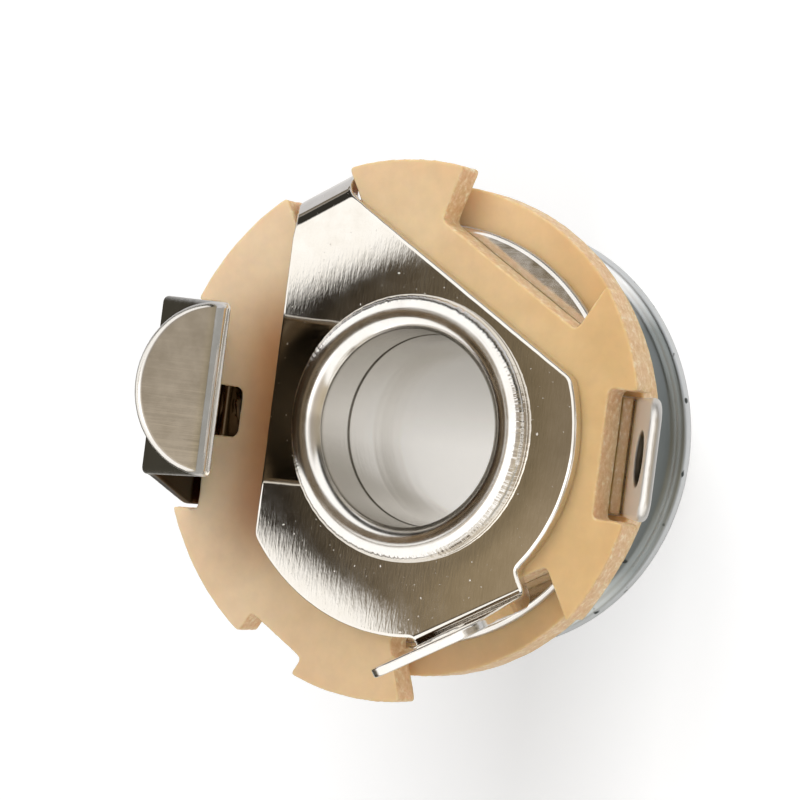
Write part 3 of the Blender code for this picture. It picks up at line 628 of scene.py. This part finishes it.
# Contact strip: one stamping of bright plated spring strip. Its ring lies
# between the wafers; the tip's solder lug is folded up at one side, and at the
# other the leaf that presses on the plug's tip rises, leans in and flares out.
STRIP_LOW = 11.415
STRIP_HIGH = 11.815
RING_R = 7.4
RING_CENTRE = (-0.2, -0.1)
LUG_ROOT = 7.45
LUG_END = 12.288
ARM_ROOT = 8.4
ELBOW = 12.885
KNUCKLE = 21.887
TAPER_START = 10.385
LEAF_FOOT = 8.25
LEAF_LOW = -3.45
LEAF_HIGH = 3.75
TONGUE_MIDDLE = (22.443, -0.5)
TONGUE_HALF = (2.6, 2.85)
LUG_EYE = LUG_END - 1.7
EYE_R = 0.85
BOSS = (-7.85, -0.05)
RING_HOLE_R = 5.05
LUG_W = 4.1


def outward(direction, distance, side):
    """The point at a distance along a direction and a distance to its left."""
    c, s = math.cos(direction), math.sin(direction)
    return (distance * c - side * s, distance * s + side * c)


def rim_point(radius, centre, direction, side):
    """Where a line beside a direction meets a disc whose centre lies off the axis."""
    c, s = math.cos(direction), math.sin(direction)
    ahead = centre[0] * c + centre[1] * s
    across = side - (centre[1] * c - centre[0] * s)
    return outward(direction, ahead + math.sqrt(radius ** 2 - across ** 2), side)


def notched_rim(radius, centre, features):
    """A disc's outline, anticlockwise, with notches and tongues cut into its rim.

    A feature is (direction, points), its points given as (distance, side) from
    the lower side to the upper one; the first and the last only give their sides.
    """
    features = sorted(features, key=lambda item: item[0] % (2 * math.pi))
    ends = []
    for direction, points in features:
        first = rim_point(radius, centre, direction, points[0][1])
        last = rim_point(radius, centre, direction, points[-1][1])
        ends.append((first, [outward(direction, d, side) for d, side in points[1:-1]], last))
    outline = []
    for k, (first, inner, last) in enumerate(ends):
        following = ends[(k + 1) % len(ends)][0]
        begin = math.atan2(last[1] - centre[1], last[0] - centre[0])
        end = math.atan2(following[1] - centre[1], following[0] - centre[0])
        while end <= begin:
            end += 2 * math.pi
        outline += [first] + inner + arc(radius, begin, end, centre)[:-1].tolist()
    return np.array(outline)


def rounded(points, radius, corners):
    """Rounds the named corners of an open run of points by arcs that touch both sides."""
    out = []
    for k, point in enumerate(points):
        if k not in corners:
            out.append(tuple(point))
            continue
        here = np.array(point, float)
        back = np.array(points[k - 1]) - here
        ahead = np.array(points[k + 1]) - here
        back /= np.linalg.norm(back)
        ahead /= np.linalg.norm(ahead)
        half = math.acos(float(back @ ahead)) / 2
        middle = (back + ahead) / np.linalg.norm(back + ahead)
        centre = here + middle * radius / math.sin(half)
        start = here + back * radius / math.tan(half) - centre
        end = here + ahead * radius / math.tan(half) - centre
        begin = math.atan2(start[1], start[0])
        turn = (math.atan2(end[1], end[0]) - begin + math.pi) % (2 * math.pi) - math.pi
        for a in begin + turn * np.linspace(0, 1, 14):
            out.append(tuple(centre + radius * np.array([math.cos(a), math.sin(a)])))
    return out


def lug_outline(side, width, end, radius):
    """A lug's side and end points as (distance, side), with its two corners rounded."""
    low, high = side - width / 2, side + width / 2
    return [(0.0, low)] + rounded(
        [(0.0, low), (end, low), (end, high), (0.0, high)], radius, (1, 2))[1:-1] + [(0.0, high)]


def fold(points, direction, root, low, high, radius, angle):
    """Folds points of a sheet about a line: past the line they wrap round a circle, then run straight on.

    The line is square to a direction, at a distance root from the axis; the
    circle has the bend radius on the fold's inner face, and a positive angle
    folds up.
    """
    ahead = np.array([math.cos(direction), math.sin(direction)])
    up = 1.0 if angle > 0 else -1.0
    length = (radius + (high - low) / 2) * abs(angle)
    centre = (high if up > 0 else low) + up * radius
    along = points[:, :2] @ ahead - root
    moved = along > 0
    turn = np.clip(along / length, 0, 1) * abs(angle)
    rest = np.maximum(along - length, 0)
    ring = (centre - points[:, 2]) * up
    new_along = ring * np.sin(turn) + rest * np.cos(turn)
    new_z = centre - up * (ring * np.cos(turn) - rest * np.sin(turn))
    out = points.copy()
    out[moved, :2] += ahead * (new_along - along)[moved, None]
    out[moved, 2] = new_z[moved]
    return out


round_end = np.linspace(-math.pi / 2, math.pi / 2, 60)
tongue = TONGUE_HALF * np.stack([np.cos(round_end), np.sin(round_end)], -1) + TONGUE_MIDDLE
leaf = [(LEAF_FOOT, LEAF_LOW), (TAPER_START, LEAF_LOW), (ELBOW, -3.55)] + tongue.tolist()
leaf += [(ELBOW, 2.8), (TAPER_START, LEAF_HIGH), (LEAF_FOOT, LEAF_HIGH)]
strip_rim = notched_rim(
    RING_R, RING_CENTRE, [(0.0, lug_outline(0.0, LUG_W, LUG_END, 0.8)), (math.pi, leaf)])
strip_eye = circle(EYE_R, (LUG_EYE, 0.0), clockwise=True)
bends = [
    (0.0, LUG_ROOT, 0.4974), (math.pi, ARM_ROOT, 0.7854), (math.pi, ELBOW, 0.4014),
    (math.pi, KNUCKLE, 1.1118)]
points, faces, cut, rims = punched_sheet(
    "contact_strip", [strip_rim, circle(RING_HOLE_R, clockwise=True), strip_eye], STRIP_LOW, STRIP_HIGH,
    seed=5, top=(0.19, 0.17), under=(0.25, 0.19), soften=5, ragged=0.006, rough=0.008, bends=bends)

# Painted shade darkens the leaf's inner face up to the knuckle, the edges of its
# rise and the walls of the lug's eye, less on the boss. A Gaussian boss is pressed up in the window.
on_top = (points[:, 2] > STRIP_HIGH - 0.03) * (cut < 0.5)
strip_painted_shade = on_top * np.clip((-points[:, 0] - 6.8) / 0.3, 0, 1) * np.clip((21.9 + points[:, 0]) / 0.6, 0, 1)
boss = np.exp(-((points[:, 0] - BOSS[0]) ** 2 / 0.30 ** 2 + (points[:, 1] - BOSS[1]) ** 2 / 0.45 ** 2))
points[:, 2] += 0.32 * boss
strip_painted_shade *= 1 - 0.75 * boss
in_eye = np.hypot(points[:, 0] - LUG_EYE, points[:, 1]) < EYE_R + 0.13
strip_painted_shade = np.maximum(strip_painted_shade, in_eye * np.clip(cut * 2, 0, 1))
rise = np.clip((-points[:, 0] - 8.6) / 0.3, 0, 1) * np.clip((13.4 + points[:, 0]) / 0.6, 0, 1)
strip_painted_shade = np.maximum(strip_painted_shade, 0.9 * rise * (cut > 0.02) * (points[:, 2] > STRIP_LOW + 0.2))

# Folded from the tongue inwards, so that each fold line still lies flat.
points = fold(points, math.pi, KNUCKLE, STRIP_LOW, STRIP_HIGH, 0.5, -math.radians(91))
points = fold(points, math.pi, ELBOW, STRIP_LOW, STRIP_HIGH, 0.3, math.radians(46))
points = fold(points, math.pi, ARM_ROOT, STRIP_LOW, STRIP_HIGH, 0.3, math.radians(90))
points = fold(points, 0.0, LUG_ROOT, STRIP_LOW, STRIP_HIGH, 0.3, math.radians(57))
strip = sheet_object("contact_strip_stamped", points, faces, cut, rims)
strip.data.attributes.new("strip_painted_shade", "FLOAT", "POINT").data.foreach_set("value", strip_painted_shade)

# Bright plated spring strip: mirror-like, with faint lines from rolling. The
# leaf's inner face carries painted shade, brown and darkest at its foot, and the
# lug is tinned, so satin white.
plated_strip, tree, shader, place = start_material("bright_plated_spring_strip")
rolled = add(tree, "Mapping", {"Vector": place, "Scale": (260.0, 5000.0, 260.0)})
lines = add(tree, "TexNoise", {"Vector": rolled, "Scale": 1.0, "Detail": 3.0})
haze = add(tree, "TexNoise", {"Vector": place, "Scale": 1200.0, "Detail": 4.0, "Roughness": 0.6})
cut_mark = add(tree, "Attribute", attribute_name="cut")
strip_shade_mark = add(tree, "Attribute", attribute_name="strip_painted_shade")
parts = add(tree, "SeparateXYZ", {"Vector": place})
tinned = add(tree, "MapRange", {"Value": parts.outputs["X"], 1: 0.0078, 2: 0.0082})
tone = add(
    tree, "ValToRGB", {"Fac": haze.outputs["Fac"]},
    stops=[(0.3, linear("#D3CEC6")), (0.7, linear("#E2DED8"))])
tin = add(tree, "Mix", {"Factor": tinned, 6: tone, 7: linear("#F2F0EE")}, data_type="RGBA")
edged = add(
    tree, "Mix", {"Factor": cut_mark.outputs["Fac"], 6: tin.outputs[2], 7: linear("#DAD6CF")},
    data_type="RGBA")
# Painted shade on the leaf: darkest near its foot, paler higher up.
foot = add(
    tree, "ValToRGB", {"Fac": add(tree, "MapRange", {"Value": parts.outputs["Z"], 1: 0.012, 2: 0.022})},
    stops=[
        (0.0, linear("#7D6E5B")), (0.04, linear("#7D6E5B")), (0.12, linear("#3A332A")),
        (0.30, linear("#3A332A")), (0.75, linear("#93836D"))])
strip_shaded_tone = add(tree, "Mix", {"Factor": strip_shade_mark.outputs["Fac"], 6: edged.outputs[2], 7: foot}, data_type="RGBA")
tree.links.new(strip_shaded_tone.outputs[2], shader.inputs["Base Color"])
bright = add(
    tree, "ValToRGB", {"Fac": haze.outputs["Fac"]},
    stops=[(0.35, grey(0.08)), (0.75, grey(0.16))])
matt = add(tree, "Mix", {"Factor": tinned, 6: bright, 7: grey(0.45)}, data_type="RGBA")
dull = add(
    tree, "Mix", {"Factor": cut_mark.outputs["Fac"], 6: matt.outputs[2], 7: grey(0.42)}, data_type="RGBA")
tree.links.new(dull.outputs[2], shader.inputs["Roughness"])
relief = add(tree, "Bump", {"Strength": 0.10, "Distance": 0.00002, "Height": lines.outputs["Fac"]})
tree.links.new(relief.outputs["Normal"], shader.inputs["Normal"])
shader.inputs["Metallic"].default_value = 1.0
strip.data.materials.append(plated_strip)
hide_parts("tip_contact", "tip_spring")
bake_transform(strip)


# Rear wafer: the same board, punched with notches for the two lugs, the spring
# and the locking tab, one spare notch, and a small window by the spring.
REAR_WAFER = {"radius": 9.495, "centre": (-0.9, -0.12), "low": 11.86, "high": 13.03}

window = rounded([(8.55, -0.65), (7.25, -0.65), (7.25, 1.15), (8.55, 1.15)], 0.3, (1, 2))
notches = [
    (0.0, [(0.0, -2.2), (7.2, -2.2), (7.2, 2.2), (0.0, 2.2)]),
    (math.radians(60), [(0.0, -2.9), (6.349, -2.9), (6.349, 3.65), (0.0, 4.1)]),
    (math.radians(120), [(0.0, -0.95), (7.85, -0.95), (7.85, 1.75), (0.0, 1.75)]),
    (math.pi, [(0.0, -3.6), (8.55, -3.6)] + window + [(8.55, 3.9), (0.0, 3.9)]),
    (math.radians(-120), [(0.0, -1.3), (9.127, -1.3), (9.127, 1.3), (0.0, 1.3)]),
    (math.radians(-60), [(0.0, -4.1), (6.349, -3.65), (6.349, 2.9), (0.0, 2.9)]),
]
rear_rim = notched_rim(REAR_WAFER["radius"], REAR_WAFER["centre"], notches)
points, faces, cut, rims = punched_sheet(
    "rear_wafer", [rear_rim, circle(HOLE_R, clockwise=True)], REAR_WAFER["low"], REAR_WAFER["high"],
    seed=8, top=(0.10, 0.08), under=(0.05, 0.05), soften=7, ragged=0.018, rough=0.05)
rear_wafer = sheet_object("rear_wafer_board", points, faces, cut, rims)
rear_wafer.data.materials.append(phenolic)
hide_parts("rear_insulator")
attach(rear_wafer, "stack")


# Ground plate: nickel plated steel sheet, held down by the bushing's rolled end.
# Its solder lug is folded up, and its locking tab is folded softly down into a
# notch of the rear wafer, which keeps the stack from turning.
PLATE_LOW = 13.05
PLATE_HIGH = 13.52
GROUND = math.radians(-60)
LOCK = math.radians(120)
GROUND_ROOT = 6.75
GROUND_TURN = math.radians(76)
GROUND_END = GROUND_ROOT + 0.5265 * GROUND_TURN + 4.2
GROUND_LUG_SIDE = -0.25
GROUND_LUG_W = 4.55
LOCK_ROOT = 7.88
LOCK_BEND = 1.36
LOCK_RIGHT = -0.85
LOCK_LEFT = 1.6
PLATE_CHORD = 5.07
PLATE_LEFT = 5.7
PLATE_RIGHT_R = 6.44
PLATE_LOWER_R = 7.25
PLATE_HOLE_R = 3.8

ground_lug = lug_outline(GROUND_LUG_SIDE, GROUND_LUG_W, GROUND_END, 0.9)[1:-1]
lug = [outward(GROUND, d, side) for d, side in ground_lug]
lug_low = rim_point(PLATE_LOWER_R, (0.0, 0.0), GROUND, GROUND_LUG_SIDE - GROUND_LUG_W / 2)
lug_high = rim_point(PLATE_RIGHT_R, (0.0, 0.0), GROUND, GROUND_LUG_SIDE + GROUND_LUG_W / 2)
chord_half = math.acos(PLATE_CHORD / PLATE_RIGHT_R)
right = arc(PLATE_RIGHT_R, math.atan2(lug_high[1], lug_high[0]), math.radians(60) - chord_half)
tab_end = LOCK_ROOT + (LOCK_BEND + (PLATE_HIGH - PLATE_LOW) / 2) * math.pi / 2 + 0.15
right_foot = (PLATE_CHORD + LOCK_RIGHT * math.cos(math.radians(30))) / math.cos(math.radians(60))
left_foot = (PLATE_LEFT - LOCK_LEFT * math.cos(math.radians(30))) / math.sin(math.radians(30))
tab = [outward(LOCK, right_foot, LOCK_RIGHT), outward(LOCK, tab_end, LOCK_RIGHT),
       outward(LOCK, tab_end, LOCK_LEFT), outward(LOCK, left_foot, LOCK_LEFT)]
lower = arc(PLATE_LOWER_R, -math.acos(-PLATE_LEFT / PLATE_LOWER_R), math.atan2(lug_low[1], lug_low[0]))
plate_rim = np.concatenate([np.array(lug), right, np.array(tab), lower])
plate_eye = circle(EYE_R, outward(GROUND, GROUND_END - 1.8, GROUND_LUG_SIDE), clockwise=True)
points, faces, cut, rims = punched_sheet(
    "ground_plate", [plate_rim, circle(PLATE_HOLE_R, clockwise=True), plate_eye], PLATE_LOW, PLATE_HIGH,
    seed=11, top=(0.13, 0.09), under=(0.06, 0.06), soften=6, ragged=0.010, rough=0.01, grid=0.22,
    bends=[(GROUND, GROUND_ROOT, 0.698), (LOCK, LOCK_ROOT, 2.097)])

# The rolled end presses the plate down by 0.006 mm in a ring, and the ground
# lug is thinned by 0.30 of its thickness past its root.
reach = np.hypot(points[:, 0], points[:, 1])
points[:, 2] -= 0.006 * np.exp(
    -((reach - 4.5) / 0.6) ** 2) * (points[:, 2] - PLATE_LOW) / (PLATE_HIGH - PLATE_LOW)
along = points[:, 0] * math.cos(GROUND) + points[:, 1] * math.sin(GROUND)
points[:, 2] += 0.30 * (PLATE_HIGH - points[:, 2]) * np.clip((along - GROUND_ROOT - 1.2) / 2.0, 0, 1)
points = fold(points, GROUND, GROUND_ROOT, PLATE_LOW, PLATE_HIGH, 0.3, GROUND_TURN)
points = fold(points, LOCK, LOCK_ROOT, PLATE_LOW, PLATE_HIGH, LOCK_BEND, -math.radians(90))
plate = sheet_object("ground_plate_stamped", points, faces, cut, rims)

# Bright nickel plate on sheet: a slightly uneven mirror, so that reflections
# have fuzzy, speckled borders; cut edges are burred and brighter.
nickel_sheet, tree, shader, place = start_material("bright_nickel_plate_on_sheet")
haze = add(tree, "TexNoise", {"Vector": place, "Scale": 1100.0, "Detail": 4.0, "Roughness": 0.65})
rolled = add(
    tree, "Mapping", {"Vector": place, "Rotation": (0.0, 0.0, -0.35), "Scale": (11000.0, 2200.0, 2200.0)})
speckle = add(tree, "TexNoise", {"Vector": rolled, "Scale": 1.0, "Detail": 2.0, "Roughness": 0.6})
pits = add(tree, "TexNoise", {"Vector": place, "Scale": 6500.0, "Detail": 1.0})
pitted = add(
    tree, "ValToRGB", {"Fac": pits.outputs["Fac"]},
    stops=[(0.72, grey(0.0)), (0.80, grey(0.35))])
swell = add(tree, "TexNoise", {"Vector": place, "Scale": 260.0, "Detail": 1.0})
cut_mark = add(tree, "Attribute", attribute_name="cut")
tone = add(
    tree, "ValToRGB", {"Fac": haze.outputs["Fac"]},
    stops=[(0.3, linear("#DBD5CB")), (0.7, linear("#E6E1D9"))])
edged = add(
    tree, "Mix", {"Factor": cut_mark.outputs["Fac"], 6: tone, 7: linear("#E3DFD8")}, data_type="RGBA")
tree.links.new(edged.outputs[2], shader.inputs["Base Color"])
dull = add(
    tree, "Mix",
    {
        "Factor": cut_mark.outputs["Fac"],
        6: add(
            tree, "ValToRGB", {"Fac": haze.outputs["Fac"]},
            stops=[(0.35, grey(0.025)), (0.75, grey(0.05))]).outputs["Color"],
        7: grey(0.22)},
    data_type="RGBA")
dull = add(
    tree, "Mix", {"Factor": 1.0, 6: dull.outputs[2], 7: pitted}, data_type="RGBA", blend_type="LIGHTEN")
tree.links.new(dull.outputs[2], shader.inputs["Roughness"])
fine = add(tree, "Bump", {"Strength": 0.045, "Distance": 0.00001, "Height": speckle.outputs["Fac"]})
broad = add(
    tree, "Bump",
    {
        "Strength": 0.006, "Distance": 0.0001, "Height": swell.outputs["Fac"],
        "Normal": fine.outputs["Normal"]})
tree.links.new(broad.outputs["Normal"], shader.inputs["Normal"])
shader.inputs["Metallic"].default_value = 1.0
plate.data.materials.append(nickel_sheet)
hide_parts("ground_plate")
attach(plate, "stack")


# Mounting washer: a flat ring punched from zinc plated steel, with one edge
# rounded by the punch.
washer_profile = smooth_profile(
    [
        (4.6, 6.60), (4.66, 6.65), (6.60, 6.65), (6.69, 6.62), (6.75, 6.54), (6.75, 5.98), (6.72, 5.95),
        (4.64, 5.95), (4.6, 5.99), (4.6, 6.60)],
    0.15)[:-1]
washer = surface("washer_punched", revolve(washer_profile, 144), closed_u=True, closed_v=True, flip=True)
washer.data.materials.append(zinc)
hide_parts("washer")
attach(washer, "washer")


# Mounting nut: hexagon bar, chamfered on both faces by a 30 degree cone, and
# threaded M9 x 0.75 to run on the barrel. Nickel plated brass.
NUT_LOW = 3.80
NUT_HIGH = 5.80
NUT_FLAT = 5.5


def nut_points():
    """The nut as rings of points: bore with its thread, top face, chamfer, flats and back underneath.

    At each angle the outer radius is flat / cos(angle from the flat's middle),
    cut off at the rounded corner, and the chamfer drops by tan 30 of what
    stands past the flats.
    """
    a = np.linspace(0, 2 * np.pi, 288, endpoint=False)
    from_flat = (a + np.pi / 6) % (np.pi / 3) - np.pi / 6
    hexagon = np.minimum(NUT_FLAT / np.cos(from_flat), 6.28)
    start = 5.42
    drop = (hexagon - start) * math.tan(math.radians(30))
    flat_z = 0 * a
    bore_z = np.arange(NUT_LOW + 0.35, NUT_HIGH - 0.349, 0.05)
    rings = [(4.62 + 0 * a, NUT_LOW + flat_z)]
    for z in bore_z:
        crest = 4.56 - (THREAD_DEPTH - 0.06) * (1 - thread_depth(z, a)) * min(
            1.0, (z - NUT_LOW - 0.30) / 0.2, (NUT_HIGH - 0.30 - z) / 0.2)
        rings.append((crest, z + flat_z))
    rings += [(4.62 + 0 * a, NUT_HIGH + flat_z), (start + 0 * a, NUT_HIGH + flat_z)]
    for t in (0.33, 0.66, 0.93):
        rings.append((start + (hexagon - start) * t, NUT_HIGH - drop * t))
    rings.append((hexagon, NUT_HIGH - drop - 0.04))
    rings.append((hexagon, NUT_LOW + drop + 0.04))
    for t in (0.93, 0.66, 0.33):
        rings.append((start + (hexagon - start) * t, NUT_LOW + drop * t))
    rings.append((start + 0 * a, NUT_LOW + flat_z))
    return np.array([np.stack([r * np.cos(a), r * np.sin(a), z], -1) for r, z in rings])


nut = surface("nut_hexagon", nut_points(), closed_u=True, closed_v=True, flip=True)
nut.data.set_sharp_from_angle(angle=math.radians(24))
nut.data.materials.append(nickel_turned)
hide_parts("nut")
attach(nut, "nut")


# Floor: a plain white sheet. Camera and transmission rays add white, more to
# the right and far away, so that it reads as the white background and keeps
# the jack's shadow. The bore's mouth glows, and gloss sees the sheet end in the dim room.
FLOOR_HALF = 900.0

x, y = np.meshgrid([-FLOOR_HALF, FLOOR_HALF], [-FLOOR_HALF, FLOOR_HALF])
floor = surface("floor", np.stack([x, y, 0 * x], -1))
floor_white, tree, shader, place = start_material("matt_white_floor")
tree.nodes.remove(shader)
matt = add(tree, "BsdfDiffuse", {"Color": linear("#F2F2F2")})
rays = add(tree, "LightPath")
seen = add(
    tree, "Math", {0: rays.outputs["Is Camera Ray"], 1: rays.outputs["Is Transmission Ray"]},
    operation="MAXIMUM")
away = add(tree, "VectorMath", {0: place}, operation="LENGTH")
mouth = add(tree, "MapRange", {"Value": away.outputs["Value"], 1: 0.0042, 2: 0.0036, 3: 0.0, 4: 0.62})
parts = add(tree, "SeparateXYZ", {"Vector": place})
fade = add(tree, "MapRange", {"Value": parts.outputs["X"], 1: -0.001, 2: 0.005, 3: 0.20, 4: 0.42})
horizon = add(tree, "MapRange", {"Value": away.outputs["Value"], 1: 0.030, 2: 0.090, 3: 0.0, 4: 0.60})
fade = add(tree, "Math", {0: fade, 1: horizon}, operation="ADD")
lift = add(tree, "Math", {0: seen, 1: fade, 2: mouth}, operation="MULTIPLY_ADD")
glow = add(tree, "Emission", {"Color": (1, 1, 1, 1), "Strength": lift})
sheet = add(tree, "AddShader", {0: matt, 1: glow})
oval = add(tree, "VectorMath", {0: place, 1: (2.0, 0.8, 0.0)}, operation="MULTIPLY")
oval = add(tree, "VectorMath", {0: oval.outputs["Vector"]}, operation="LENGTH")
far = add(tree, "MapRange", {"Value": oval.outputs["Value"], 1: 0.035, 2: 0.050})
far = add(tree, "Math", {0: far, 1: rays.outputs["Is Glossy Ray"]}, operation="MULTIPLY")
right = add(tree, "MapRange", {"Value": parts.outputs["X"], 1: -0.010, 2: 0.010})
shade = add(
    tree, "ValToRGB", {"Fac": right},
    stops=[(0.0, linear("#45423A")), (1.0, linear("#B4B5B4"))])
back = add(tree, "MapRange", {"Value": parts.outputs["Y"], 1: 0.010, 2: 0.016})
shade = add(tree, "Mix", {"Factor": back, 6: shade, 7: linear("#E2E3E8")}, data_type="RGBA").outputs[2]
dim = add(tree, "Emission", {"Color": shade, "Strength": 1.0})
both = add(tree, "MixShader", {0: far, 1: sheet, 2: dim})
tree.links.new(both.outputs[0], tree.nodes["Material Output"].inputs["Surface"])
floor.data.materials.append(floor_white)


# Light: gloss sees a tent. At the left it is white from 16 to 56 degrees up, then
# dark in a gap that widens and pales upwards; it is white round the zenith and at
# both sides, and the dim warm room shows at the right and low down at the far side.
# Other rays see an even grey, and the camera sees white.
world = bpy.data.worlds.new("tent")
bpy.context.scene.world = world
world.use_nodes = True
tree = world.node_tree
tree.nodes.clear()
direction = add(tree, "TexCoord").outputs["Generated"]
parts = add(tree, "SeparateXYZ", {"Vector": direction})
leftwards = add(tree, "Math", {0: parts.outputs["X"], 1: -1.0}, operation="MULTIPLY")
over = add(tree, "Math", {0: parts.outputs["Z"], 1: leftwards}, operation="ARCTAN2")
turned = add(tree, "Math", {0: over, 1: 1 / math.pi}, operation="MULTIPLY")
white = grey(1.35)
room = add(
    tree, "ValToRGB", {"Fac": turned},
    stops=[
        (0.0, linear("#7A7368")), (0.05, linear("#8F8578")), (0.09, white), (0.309, white),
        (0.314, linear("#26221D")), (0.325, linear("#26221D")), (0.331, linear("#3A342B")),
        (0.338, linear("#6B6152")), (0.345, linear("#85775F")), (0.36, linear("#9A8C79")),
        (0.39, linear("#A89C8B")), (0.42, white), (0.60, white), (0.70, linear("#ADA49A")),
        (0.88, linear("#B0A592")), (1.0, linear("#A09681"))])
lower = add(tree, "MapRange", {"Value": parts.outputs["Y"], 1: -0.010, 2: -0.040, 3: 1.0, 4: 1.55})
room = add(tree, "VectorMath", {0: room, "Scale": lower}, operation="SCALE")
aside = add(tree, "Math", {0: parts.outputs["Y"], 1: 0.0085}, operation="ADD")
aside = add(tree, "Math", {0: aside}, operation="ABSOLUTE")
opening = add(
    tree, "ValToRGB", {"Fac": turned},
    stops=[
        (0.316, grey(0.025)), (0.324, grey(0.036)), (0.331, grey(0.049)), (0.337, grey(0.058)),
        (0.344, grey(0.085)), (0.36, grey(0.13)), (0.45, grey(0.45))])
past = add(tree, "Math", {0: aside, 1: opening}, operation="SUBTRACT")
beside = add(tree, "MapRange", {"Value": past, 1: -0.002, 2: 0.006})
above = add(tree, "MapRange", {"Value": parts.outputs["Z"], 1: 0.08, 2: 0.22})
sides = add(tree, "Math", {0: beside, 1: above}, operation="MULTIPLY")
walled = add(tree, "Mix", {"Factor": sides, 6: room.outputs["Vector"], 7: white}, data_type="RGBA")
far = add(tree, "MapRange", {"Value": parts.outputs["Y"], 1: 0.38, 2: 0.44})
low = add(
    tree, "ValToRGB", {"Fac": parts.outputs["Z"]},
    stops=[(0.10, grey(0.0)), (0.15, grey(1.0)), (0.42, grey(1.0)), (0.47, grey(0.0))])
gap = add(tree, "Math", {0: far, 1: low}, operation="MULTIPLY")
walled = add(tree, "Mix", {"Factor": gap, 6: walled.outputs[2], 7: linear("#3A3834")}, data_type="RGBA")
rays = add(tree, "LightPath")
gloss = add(
    tree, "Mix",
    {"Factor": rays.outputs["Is Glossy Ray"], 6: (0.66, 0.66, 0.66, 1.0), 7: walled.outputs[2]},
    data_type="RGBA")
shown = add(
    tree, "Mix", {"Factor": rays.outputs["Is Camera Ray"], 6: gloss.outputs[2], 7: (1, 1, 1, 1)},
    data_type="RGBA")
light = add(tree, "Background", {"Color": shown.outputs[2], "Strength": 1.0})
add(tree, "OutputWorld", {"Surface": light})


def lamp(name, at, size, power):
    """A square area lamp in metres and watts that faces the jack."""
    data = bpy.data.lights.new(name, "AREA")
    data.size = size
    data.energy = power
    obj = bpy.data.objects.new(name, data)
    bpy.context.scene.collection.objects.link(obj)
    obj.visible_glossy = False
    aim = Vector(at) - Vector((0.0, 0.0, 0.010))
    obj.matrix_world = Matrix.Translation(at) @ aim.to_track_quat("Z", "Y").to_matrix().to_4x4()


lamp("key_above", (-0.14, 0.44, 0.44), 0.50, 2.0)
lamp("fill_right", (0.42, -0.10, 0.40), 0.50, 0.4)
